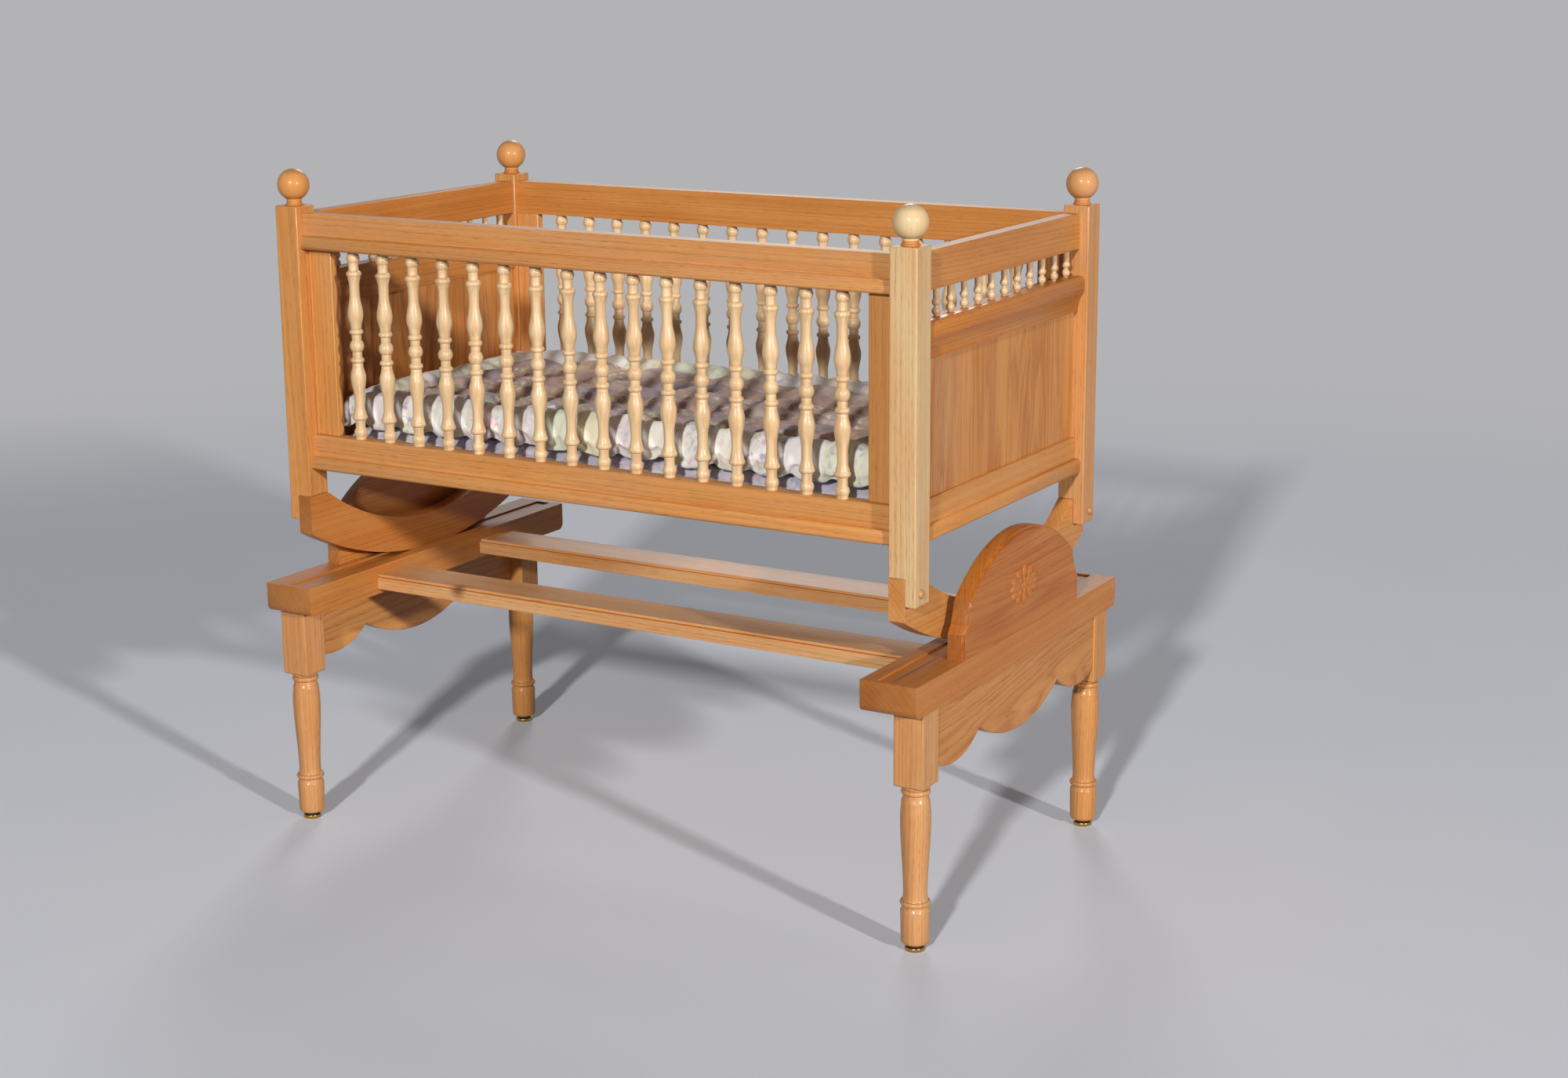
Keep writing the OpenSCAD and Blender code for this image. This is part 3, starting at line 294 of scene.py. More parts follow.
def lay_grain(piece, along, seed, boards=None, tone=0.5, figure=0.0, face=0, spread=0.05, ends=1.0):
    """Stores on each corner where it lies in its board: along, across and through the grain,
    in metres from the heart of the log. Each board has its own place in the log and its own
    tone, and faces across the grain are marked as end grain, as dark as the ends value says.
    Boards are parted along an axis. A figured board has the heart close behind its broad face,
    so its lines make arches."""
    mesh = piece.data
    corner_vertex = read(mesh.loops, "vertex_index", kind=int)
    place = read(mesh.vertices, "co", 3)
    face_corner = np.repeat(np.arange(len(mesh.polygons)), read(mesh.polygons, "loop_total", kind=int))
    normal = read(mesh.polygons, "normal", 3)
    middle = read(mesh.polygons, "center", 3)
    order = [along, (along + 1) % 3, (along + 2) % 3]
    which = np.zeros(len(mesh.polygons), int)
    if boards:
        axis, joints = boards
        which = np.searchsorted(joints, middle[:, axis])
    chance = np.random.default_rng(seed)
    count = which.max() + 1
    starts = np.array([middle[which == i].mean(axis=0)[order] for i in range(count)])
    deep = order.index(face) if face in order[1:] else 1
    shift = np.stack([chance.uniform(-4, 4, count), chance.uniform(0.10, 0.20, count),
                      chance.uniform(0.10, 0.20, count)], axis=1)
    if figure > 0.5:
        shift[:, deep] = chance.uniform(0.05, 0.10, count)
        shift[:, 3 - deep] = chance.uniform(-0.02, 0.02, count)
    tilt = chance.uniform(-0.02, 0.02, (count, 2)) * (1 + figure)
    tones = np.clip(chance.normal(tone, spread, count), 0, 1)
    at = which[face_corner]
    grain = place[corner_vertex][:, order] - starts[at]
    grain[:, 1:] += grain[:, :1] * tilt[at] + shift[at, 1:]
    grain[:, 0] += shift[at, 0]
    end = ends * np.clip((np.abs(normal[:, along]) - 0.6) / 0.3, 0, 1)[face_corner]
    marks = np.stack([tones[at], end, np.full(len(at), figure), np.ones(len(at))], axis=1)
    for name, kind, field, values in (("grain", "FLOAT_VECTOR", "vector", grain),
                                      ("board", "FLOAT_COLOR", "color", marks)):
        layer = mesh.attributes.new(name, kind, "CORNER")
        layer.data.foreach_set(field, values.astype(np.float32).ravel())
    return piece


def paint_quirk_shade(piece, tone, where):
    """Painted shade in a quirk: the faces that the rule picks by their middle, in
    millimetres, get a deeper tone that stands for the shade falling there."""
    marks = piece.data.attributes["board"].data
    for face in piece.data.polygons:
        if where(face.center / MM):
            for corner in face.loop_indices:
                marks[corner].color[0] = tone


def finish_piece(name, bm, body, nodes, skin):
    """The piece made of a bmesh, riding on its body, in place of its nodes."""
    mesh = bpy.data.meshes.new(name)
    bm.to_mesh(mesh)
    bm.free()
    mesh.materials.append(skin)
    piece = bpy.data.objects.new(name, mesh)
    bpy.context.scene.collection.objects.link(piece)
    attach(piece, body)
    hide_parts(*nodes)
    return piece


CLOSE = 1e-5  # metres
FLAT, CURVED, SHARP, CREASE = (math.radians(angle) for angle in (0.6, 1, 28, 50))


def eased(node, radius=1.3, shortest=9.0, steps=2):
    """A planed copy of a node: its doubles merged, its flats made whole, and its sharp edges
    rounded by a radius in millimetres. Edges shorter than the shortest, as round a hole, stay."""
    bm = bmesh.new()
    bm.from_mesh(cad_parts[node].data)
    bmesh.ops.remove_doubles(bm, verts=bm.verts, dist=CLOSE)
    bmesh.ops.dissolve_limit(bm, angle_limit=FLAT, verts=bm.verts, edges=bm.edges)
    turn = {edge: edge.calc_face_angle(0) for edge in bm.edges}
    curved = {edge for edge in bm.edges if CURVED < turn[edge] < SHARP}
    for face in bm.faces:
        face.smooth = any(edge in curved for edge in face.edges)
    long = {edge for edge in bm.edges if edge.calc_length() > shortest * MM}
    sharp = [edge for edge in bm.edges if turn[edge] > SHARP and (edge in long or any(
        other in curved and other in long for vert in edge.verts for other in vert.link_edges))]
    rounded = bmesh.ops.bevel(bm, geom=sharp, offset=radius * MM, offset_type="OFFSET", affect="EDGES",
                              segments=steps, profile=0.5, material=-1, clamp_overlap=True)
    for face in rounded["faces"]:
        face.smooth = True
    for edge in bm.edges:
        edge.smooth = edge.calc_face_angle(0) < CREASE
    return bm


def board(node, body, along, seed, slot="oak", skin=None, tone=0.5, figure=0.0, face=0, ends=1.0, **ease):
    """A board of the frame, in place of its node, with its grain laid along an axis."""
    piece = finish_piece("oak_" + node, eased(node, **ease), body, [node], skin or oak)
    return lay_grain(piece, along, seed, tone=tone, figure=figure, face=face, ends=ends)


for seed, (side, *_) in enumerate(ENDS):
    board(side + "_beam", "stand", 1, 10 + seed, tone=0.16, radius=1.6)


# The four legs: oak 45 mm square at the top, turned below to a long vase, an ankle ring
# and a round foot, in one piece with a round tenon that goes up into the beam.


def arc(radius, level, size, start, stop, count):
    """Points on an arc of a turned profile, as radius and level."""
    return [(radius + size * math.cos(math.radians(start + (stop - start) * i / count)),
             level + size * math.sin(math.radians(start + (stop - start) * i / count)))
            for i in range(count + 1)]


def swell(r0, z0, r1, z1, count):
    """Points of a soft swell between two radii and two levels, the ends left out."""
    return [(r0 + (r1 - r0) * (1 - math.cos(math.pi * i / count)) / 2, z0 + (z1 - z0) * i / count)
            for i in range(1, count)]


def turned(bm, centre, profile, steps=40):
    """Turns a profile in millimetres about an upright line through a centre."""
    line = [bm.verts.new(((centre[0] + radius) * MM, centre[1] * MM, (centre[2] + level) * MM))
            for radius, level in profile]
    edges = [bm.edges.new(pair) for pair in zip(line, line[1:])]
    bmesh.ops.spin(bm, geom=line + edges, cent=Vector(centre) * MM, axis=(0, 0, 1), dvec=(0, 0, 0),
                   angle=2 * math.pi, steps=steps, use_merge=True)


def tidy_turning(bm, crisp=38):
    """Closes the poles of a turning, turns its faces outwards and keeps its quirks crisp."""
    bmesh.ops.remove_doubles(bm, verts=bm.verts, dist=2e-6)
    bmesh.ops.dissolve_degenerate(bm, dist=1e-6, edges=bm.edges)
    bmesh.ops.recalc_face_normals(bm, faces=bm.faces)
    for face in bm.faces:
        face.smooth = True
    for edge in bm.edges:
        edge.smooth = edge.calc_face_angle(0) < math.radians(crisp)


CORNERS = [("front_left", -1, -1), ("front_right", 1, -1), ("back_left", -1, 1), ("back_right", 1, 1)]
LEG_X, LEG_Y, LEG_SIZE, GLIDE_TOP, BLOCK_LOW, BEAM_LOW = 527.5, 277.5, 45, 11, 235, 340
PEG_RADIUS, PEG_TOP = 12.5, BEAM_LOW + 26
LARGE_FACE, LONG_EDGE = 0.0006, 0.05  # square metres and metres

ankle, bead_low, foot = GLIDE_TOP + 58, BLOCK_LOW - 14, 21 * 0.94
waist = ankle + 12
leg_profile = (
    [(0, BLOCK_LOW + 1), (19.5, BLOCK_LOW + 1), (19.5, BLOCK_LOW - 3), (17, BLOCK_LOW - 4)]
    + arc(15.5, bead_low + 5, 4.5, 72, -70, 8)
    + [(17.6, bead_low - 1), (17.6, bead_low - 4.5), (19.2, bead_low - 6.6)]
    + swell(19.4, bead_low - 7, 21, bead_low - 30, 6) + [(21, bead_low - 30)]
    + swell(21, bead_low - 30, 16.5, waist, 18) + [(16.5, waist), (17, ankle + 5.5)]
    + arc(17, ankle, 4, 80, -80, 8)
    + [(17.6, ankle - 5.5), (18, ankle - 7.5), (foot + 0.2, ankle - 10), (foot + 0.4, ankle - 12)]
    + [(foot - 0.4, GLIDE_TOP + 4), (foot - 1, GLIDE_TOP + 1.5), (foot - 2.6, GLIDE_TOP), (0, GLIDE_TOP)])
peg_profile = [(0, PEG_TOP), (PEG_RADIUS, PEG_TOP), (PEG_RADIUS, BEAM_LOW - 1), (0, BEAM_LOW - 1)]

for seed, (corner, sx, sy) in enumerate(CORNERS):
    foot_place = (sx * LEG_X, sy * LEG_Y, 0)
    bm = bmesh.new()
    block = bmesh.ops.create_cube(bm, size=1)["verts"]
    bmesh.ops.scale(bm, vec=Vector((LEG_SIZE, LEG_SIZE, BEAM_LOW - BLOCK_LOW)) * MM, verts=block)
    middle = Vector((sx * LEG_X, sy * LEG_Y, (BEAM_LOW + BLOCK_LOW) / 2))
    bmesh.ops.translate(bm, vec=middle * MM, verts=block)
    low = [edge for edge in bm.edges if all(v.co.z < BLOCK_LOW * MM + 1e-6 for v in edge.verts)]
    bmesh.ops.bevel(bm, geom=low, offset=3 * MM, affect="EDGES", segments=3, profile=0.5, material=-1)
    long = [edge for edge in bm.edges if abs(edge.verts[0].co.z - edge.verts[1].co.z) > LONG_EDGE]
    bmesh.ops.bevel(bm, geom=long, offset=1.6 * MM, affect="EDGES", segments=2, profile=0.5, material=-1)
    turned(bm, foot_place, leg_profile, steps=48)
    turned(bm, foot_place, peg_profile, steps=32)
    tidy_turning(bm)
    for face in bm.faces:
        face.smooth = face.calc_area() < LARGE_FACE
    leg = finish_piece("oak_" + corner + "_leg", bm, "stand", [corner + "_leg"], oak)
    lay_grain(leg, 2, 20 + seed, tone=(0.56, 0.64, 0.52, 0.56)[seed])


# The glides: a nail-in foot at each leg with a polished brass-plated base 28 mm across
# on a dark moulded cushion, its stem driven up into the end grain.

# Polished brass plate: yellow metal with fine turning marks, worn a little duller below.
brass, tree, shader = material("polished_brass_plate")
place = add(tree, "TexCoord").outputs["Object"]
marks = noise(tree, add(tree, "Mapping", {"Vector": place, "Scale": (60, 60, 2600)}).outputs["Vector"])
tree.links.new(remap(tree, marks, to_min=0.18, to_max=0.36), shader.inputs["Roughness"])
shader.inputs["Metallic"].default_value = 1.0
tree.links.new(mix(tree, marks, paint("#C9A35C"), paint("#A98448")), shader.inputs["Base Color"])

# Black moulded rubber: matt, with a slight sheen where it is rounded.
rubber, tree, shader = material("black_moulded_rubber")
grit = noise(tree, add(tree, "TexCoord").outputs["Object"], 900.0)
tree.links.new(mix(tree, grit, paint("#1E1B19"), paint("#332E2A")), shader.inputs["Base Color"])
shader.inputs["Roughness"].default_value = 0.6

glide_base = ([(0, 0), (11, 0)] + arc(12, 2, 2, -80, -5, 5) + [(14, 3)]
              + arc(12.6, 4.6, 1.4, 0, 85, 5) + [(11.2, 6), (0, 6)])
glide_cushion = [(0, 5.9), (10.4, 5.9), (11, 6.6), (11, 10.2), (10.4, 10.98),
                 (3.5, 10.98), (3.5, 36), (0, 36)]
for corner, sx, sy in CORNERS:
    bm = bmesh.new()
    turned(bm, (sx * LEG_X, sy * LEG_Y, 0), glide_base)
    base_faces = len(bm.faces)
    turned(bm, (sx * LEG_X, sy * LEG_Y, 0), glide_cushion, steps=32)
    bm.faces.ensure_lookup_table()
    for face in bm.faces[base_faces:]:
        face.material_index = 1
    tidy_turning(bm, crisp=50)
    glide = finish_piece("metal_" + corner + "_glide", bm, "stand", [corner + "_glide"], brass)
    glide.data.materials.append(rubber)


# The aprons: 20 mm oak between the legs under each beam, band-sawn to a middle lobe and
# two ears, with the lower edge sanded round. The grain runs along them.

for seed, (side, *_) in enumerate(ENDS):
    board(side + "_apron", "stand", 1, 30 + seed, tone=0.36, figure=0.8, radius=1.5)


# The end boards beside the rockers: 25 mm oak with a round top, flared feet and a stepped
# and rounded moulding worked round the edge. Dowels hold them upright on the beams.

LEDGE_IN, LEDGE_OUT, BEAM_CLEAR = 546.5, 549.3, 386
for seed, (side, *_) in enumerate(ENDS):
    guard = board(side + "_guard", "stand", 1, 40 + seed, tone=0.12, figure=0.6, radius=1.2, steps=3)
    # The ledge of the moulding's step takes a deeper tone: painted shade in the step.
    paint_quirk_shade(guard, 0.0, lambda middle: LEDGE_IN < abs(middle.x) < LEDGE_OUT and middle.z > BEAM_CLEAR)


# The rosettes: a traditional carved oval of petals round a boss, cut in oak 2.5 mm thick
# and glued to the middle of each end board.

GUARD_FACE, ROSETTE_LEVEL = 552, 448
PETAL_RINGS = ((35, 17.5, 12, 11, 6.6, 2.5), (22, 9.5, 10, 8, 4.6, 2.1), (9, 4.4, 8, 4.6, 3.0, 1.7))
for seed, (side, sx) in enumerate(ENDS):
    bm = bmesh.new()
    for ring_y, ring_z, count, length, width, height in PETAL_RINGS:
        for i in range(count):
            turn = 2 * math.pi * i / count
            petal = bmesh.ops.create_uvsphere(bm, u_segments=16, v_segments=10, radius=1)["verts"]
            bmesh.ops.scale(bm, vec=Vector((height, length, width)) * MM, verts=petal)
            out = math.atan2(math.sin(turn) * ring_y, math.cos(turn) * ring_z)
            lean = Matrix.Rotation(math.pi / 2 - out, 3, "X")
            bmesh.ops.rotate(bm, cent=(0, 0, 0), matrix=lean, verts=petal)
            spot = Vector((0, ring_y * math.sin(turn), ring_z * math.cos(turn)))
            bmesh.ops.translate(bm, vec=spot * MM, verts=petal)
    boss = bmesh.ops.create_uvsphere(bm, u_segments=20, v_segments=12, radius=1)["verts"]
    bmesh.ops.scale(bm, vec=Vector((2.5, 6.5, 4.2)) * MM, verts=boss)
    bmesh.ops.translate(bm, vec=Vector((sx * GUARD_FACE, 0, ROSETTE_LEVEL)) * MM, verts=bm.verts)
    for face in bm.faces:
        face.smooth = True
    rosette = finish_piece("oak_" + side + "_rosette", bm, "stand", [side + "_rosette"], oak)
    lay_grain(rosette, 1, 46 + seed, tone=0.08)


# The stretchers: two boards laid level between the beams, 76 x 23 mm, with a small step
# moulded along each upper edge. Dowels in their ends join them to the beams.

STEP_LOW, STEP_HIGH = 366, 369
knotty_oak = varnished_oak("varnished_red_oak_with_a_knot", knot=(-0.313, -0.168, 0.367))
for seed, (side, skin) in enumerate((("front", knotty_oak), ("back", oak))):
    plank = board(side + "_stretcher", "stand", 0, 50 + seed, skin=skin, tone=0.68, radius=0.8)
    # The ledge of each moulded step takes a deeper tone: painted shade under the step.
    paint_quirk_shade(plank, 0.0, lambda middle: STEP_LOW < middle.z < STEP_HIGH)

# Birch dowel rod: pale, close and plain, seen only where a joint is taken apart.
birch, tree, shader = material("birch_dowel")
fibre = noise(tree, add(tree, "TexCoord").outputs["Object"], 500.0, 3.0)
tree.links.new(mix(tree, fibre, paint("#E3C79A"), paint("#CDA873")), shader.inputs["Base Color"])
shader.inputs["Roughness"].default_value = 0.6


def keep_node(node, skin):
    """A small hidden CAD part stays as it is and takes a finish of its own."""
    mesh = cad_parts[node].data
    mesh.materials.clear()
    mesh.materials.append(skin)


for node in ("guard_dowels", "stretcher_dowels"):
    keep_node(node, birch)


# The corner posts: oak 40 mm square, notched at the foot for the rocker, mortised for the
# rails and drilled for the screw and its plug. The edges are sanded to a small round.

# The front right post takes a far paler tone than the others and the front left post a deeper one: partly
# the wood's own tone, partly painted light towards the right end and painted shade towards the left.
for seed, (corner, *_) in enumerate(CORNERS):
    board(corner + "_post", "cradle", 2, 60 + seed, tone=(0.34, 0.93, 0.42, 0.5)[seed], radius=1.6)


# The ball finials: oak turned to a 47 mm ball on a short coved neck and a collar, with
# a round tenon glued into the top of each post. The neck and collar take a deeper tone: painted shade under
# the ball.

POST_X, POST_Y, POST_TOP, NECK_TOP = 510, 267, 949.3, 957.3
finial_profile = (
    [(0, -22), (7, -22), (7, 0), (12.6, 0), (13, 0.5), (13, 1.3), (12.4, 2.1), (11.5, 2.9), (11.05, 4.4)]
    + [(11, 7)] + arc(0, 30, 23.5, -math.degrees(math.acos(22 / 47)) + 1, 90, 30))
turned_oak = varnished_oak("close_grained_turned_oak", lines=0.35)
# The finials follow their posts, the front right far paler and the front left deeper: partly the wood's own
# tone, partly painted light towards the right end and painted shade towards the left.
for seed, (corner, sx, sy) in enumerate(CORNERS):
    bm = bmesh.new()
    turned(bm, (sx * POST_X, sy * POST_Y, POST_TOP), finial_profile, steps=64)
    tidy_turning(bm)
    ball = finish_piece("oak_" + corner + "_finial", bm, "cradle", [corner + "_finial"], turned_oak)
    lay_grain(ball, 2, 70 + seed, tone=(0.34, 0.94, 0.48, 0.54)[seed], spread=0.02)
    paint_quirk_shade(ball, 0.1, lambda middle: middle.z < NECK_TOP)


# The long rails and the stiles of the sides: 22 mm oak, tenoned into the posts, each rail
# with a lip worked along its lower edge, and a flat stile glued beside each post.

for seed, (side, *_) in enumerate(SIDES):
    board(side + "_top_rail", "cradle", 0, 80 + seed, tone=(0.38, 0.27)[seed])
    board(side + "_bottom_rail", "cradle", 0, 84 + seed, tone=0.5)
for seed, (corner, *_) in enumerate(CORNERS):
    board(corner + "_stile", "cradle", 2, 90 + seed, tone=(0.4, 0.42, 0.4, 0.4)[seed])


# The spindles: sixteen a side, turned in pale maple from 25 mm squares with a ball at each
# end, beads, two vases and a middle ring, and tenons in the rails' holes.


def varnished_maple(name, pale, deep):
    """Hard maple under the same clear varnish: cream, close-grained, with faint fine lines."""
    made, tree, shader = material(name)
    laid = add(tree, "Attribute", attribute_name="grain").outputs["Vector"]
    marks = add(tree, "Attribute", attribute_name="board").outputs["Color"]
    tone = add(tree, "SeparateColor", {"Color": marks}).outputs["Red"]
    line = noise(tree, stretch(tree, laid, 5, 170), detail=4.0, roughness=0.6)
    wood = mix(tree, remap(tree, line, 0.3, 0.75), paint(pale), paint(deep))
    wood = scaled(tree, wood, remap(tree, tone, to_min=0.62, to_max=1.2))
    tree.links.new(wood, shader.inputs["Base Color"])
    shader.inputs["Roughness"].default_value = 0.44
    shader.inputs["Coat Weight"].default_value = 0.2
    shader.inputs["Coat Roughness"].default_value = 0.24
    return made


maple = varnished_maple("varnished_maple", "#E9CEA4", "#CE9F6B")

HALF, NECK, BELLY, BEAD, RING = 139, 7.25, 11.5, 105.5, 21
half_profile = (
    [(0, HALF + 10), (5, HALF + 10), (5, HALF), (7.9, HALF), (7.9, HALF - 3.7)]
    + arc(0, HALF - 9.75, 9.75, 35, -42, 10)
    + [(NECK, HALF - 18.4), (NECK, BEAD + 7.8), (NECK + 0.5, BEAD + 6.6)]
    + arc(BELLY - 4.8, BEAD + 1, 4.5, 84, -45, 8)
    + [(9.3, BEAD - 5.5), (8.6, BEAD - 8), (8, BEAD - 10.6)]
    + [(NECK + 0.3, BEAD - 13.5), (NECK + 0.1, BEAD - 20)]
    + swell(NECK + 0.1, BEAD - 27.5, BELLY, 46, 12) + [(BELLY, 46)]
    + swell(BELLY, 46, BELLY * 0.7, RING + 6.5, 9) + [(BELLY * 0.7, RING + 5.6)]
    + arc(BELLY * 0.89 - 4.2, RING, 4.2, 76, -76, 8)
    + [(NECK, RING - 6.2), (NECK, RING - 10.4)] + arc(BELLY - 13, 0, 12.1, 46, 0, 8))
spindle_profile = half_profile + [(radius, -level) for radius, level in reversed(half_profile[:-1])]
SPINDLE_Y, SPINDLE_MIDDLE, SPINDLE_PITCH, SPINDLES = 262, 747.3, 54.4, 16
places = [(i - (SPINDLES - 1) / 2) * SPINDLE_PITCH for i in range(SPINDLES)]
for seed, (side, sy) in enumerate(SIDES):
    bm = bmesh.new()
    for x in places:
        turned(bm, (x, sy * SPINDLE_Y, SPINDLE_MIDDLE), spindle_profile, steps=28)
    tidy_turning(bm)
    node = side + "_spindles"
    row = finish_piece("maple_" + node, bm, "cradle", [node], maple)
    lay_grain(row, 2, 100 + seed, boards=(0, [(x + SPINDLE_PITCH / 2) * MM for x in places[:-1]]))


# The end rails: a plain top rail, a middle rail with a round upper edge and a cove down to
# the panel, and a bottom rail with a lip, all oak and tenoned into the posts.

for seed, (side, *_) in enumerate(ENDS):
    board(side + "_top_rail", "cradle", 1, 110 + seed, tone=0.12)
    board(side + "_mid_rail", "cradle", 1, 114 + seed, tone=0.16)
    board(side + "_bottom_rail", "cradle", 1, 118 + seed, tone=0.36)


# The galleries: twelve small maple spindles an end, two balls and a shaft each, glued
# between the top rail and the middle rail.

GALLERY_X, GALLERY_LOW, GALLERY_PITCH, GALLERY_SPINDLES = 505, 848.3, 41, 12
gallery_profile = (
    [(0, -6), (3, -6), (3, 0.5)] + arc(0, 6, 6, -60, 57, 10) + arc(0, 18, 6, -57, 48, 10)
    + [(4.5, 23.4), (4.5, 37.5), (3, 38), (3, 44), (0, 44)])
places = [(i - (GALLERY_SPINDLES - 1) / 2) * GALLERY_PITCH for i in range(GALLERY_SPINDLES)]
for seed, (side, sx) in enumerate(ENDS):
    bm = bmesh.new()
    for y in places:
        turned(bm, (sx * GALLERY_X, y, GALLERY_LOW), gallery_profile, steps=24)
    tidy_turning(bm)
    node = side + "_gallery"
    row = finish_piece("maple_" + node, bm, "cradle", [node], maple)
    lay_grain(row, 2, 130 + seed, boards=(1, [(y + GALLERY_PITCH / 2) * MM for y in places[:-1]]))


# The end panels: upright oak boards about 75 mm wide, glued edge to edge and planed to
# 12 mm, each a little lighter or darker than the next. Tongues hold them in the rails.

JOINTS = {"left": (-170, -108, -31, 52, 118, 187), "right": (-186, -121, -44, 29, 97, 176)}
for seed, (side, joints) in enumerate(JOINTS.items()):
    bm = eased(side + "_panel", radius=0.6)
    for y in joints:
        bmesh.ops.bisect_plane(bm, geom=bm.verts[:] + bm.edges[:] + bm.faces[:], dist=1e-6,
                               plane_co=(0, y * MM, 0), plane_no=(0, 1, 0))
    panel = finish_piece("oak_" + side + "_panel", bm, "cradle", [side + "_panel"], oak)
    lay_grain(panel, 2, 140 + seed, boards=(1, [y * MM for y in joints]), tone=0.4, figure=0.8, spread=0.12)


# The rockers: a 24 mm oak crescent under each end, band-sawn round below and arched above,
# let into the posts' notches and held by a screw through each post, whose hole stops inside.

ROCKER_FACE, SCREW_Y, SCREW_LEVEL = 490, 272, 495.3
# The left rocker takes a deeper tone than the right, partly painted shade for the shadow it stands in, and
# the right rocker's end grain is left nearly as pale as its sides: painted light on the ends that face the
# lamp off the right end.
for seed, (side, sx) in enumerate(ENDS):
    bm = eased(side + "_rocker", radius=1.5)
    for sy in (-1, 1):
        tip = Vector((sx * ROCKER_FACE, sy * SCREW_Y, SCREW_LEVEL)) * MM
        around = [vert for vert in bm.verts if (vert.co - tip).length < 4 * MM]
        bmesh.ops.pointmerge(bm, verts=around, merge_co=tip)
    rocker = finish_piece("oak_" + side + "_rocker", bm, "cradle", [side + "_rocker"], oak)
    lay_grain(rocker, 1, 150 + seed, tone=(0.2, 0.36)[seed], ends=(1.0, 0.1)[seed])

# Zinc-plated steel: a cool grey screw, seen only where a joint is taken apart.
zinc, tree, shader = material("zinc_plated_steel")
mottle = noise(tree, add(tree, "TexCoord").outputs["Object"], 700.0)
tree.links.new(remap(tree, mottle, to_min=0.28, to_max=0.5), shader.inputs["Roughness"])
shader.inputs["Base Color"].default_value = paint("#B8B6B0")
shader.inputs["Metallic"].default_value = 1.0
keep_node("rocker_screws", zinc)


# The button plugs: domed maple buttons 13 mm across, stained to match the posts, that close
# the screw holes in the posts' outer faces.

PLUG_X = 530
plug_profile = [(0, -4.5), (4.65, -4.5), (4.65, 0), (6.3, 0.02)] + [
    (6.5 * math.cos(math.radians(a)), 0.4 + 4.6 * math.sin(math.radians(a))) for a in range(0, 91, 10)]
bm = bmesh.new()
for corner, sx, sy in CORNERS:
    before = len(bm.verts)
    turned(bm, (0, 0, 0), plug_profile, steps=32)
    bm.verts.ensure_lookup_table()
    made = bm.verts[before:]
    bmesh.ops.rotate(bm, cent=(0, 0, 0), matrix=Matrix.Rotation(sx * math.pi / 2, 3, "Y"), verts=made)
    bmesh.ops.translate(bm, vec=Vector((sx * PLUG_X, sy * SCREW_Y, SCREW_LEVEL)) * MM, verts=made)
tidy_turning(bm)
stained = varnished_maple("stained_maple_buttons", "#D69D66", "#BD8350")
plugs = finish_piece("maple_button_plugs", bm, "cradle", ["button_plugs"], stained)
lay_grain(plugs, 0, 160, tone=0.35)


# The bed: a 12 mm board that lies loose on two cleats screwed inside the long rails,
# all plain planed softwood and ply without varnish, out of sight under the mattress.

# Planed pine: pale and unvarnished, with soft yellow lines about 11 mm apart.
pine, tree, shader = material("planed_pine")
laid = add(tree, "Attribute", attribute_name="grain").outputs["Vector"]
line = remap(tree, noise(tree, stretch(tree, laid, 3, 90), detail=3.0), 0.35, 0.65)
tree.links.new(mix(tree, line, paint("#E8CFA0"), paint("#CFA56C")), shader.inputs["Base Color"])
shader.inputs["Roughness"].default_value = 0.65

for seed, node in enumerate(("front_cleat", "back_cleat", "bed_board"), 170):
    board(node, "cradle", 0, seed, slot="hidden_wood", skin=pine, radius=0.8)
keep_node("cleat_screws", zinc)


# The mattress: a thin foam pad in a lilac printed cotton cover, sewn with a rounded rim that
# the quilt presses flat. The quilt: stuffed cotton squares about 60 mm across, sewn in rows,
# with a puffy border that hangs a little over the mattress.


def evenly(colours):
    """Stops for colours of equal share."""
    return [(i / len(colours), paint(colour)) for i, colour in enumerate(colours)]


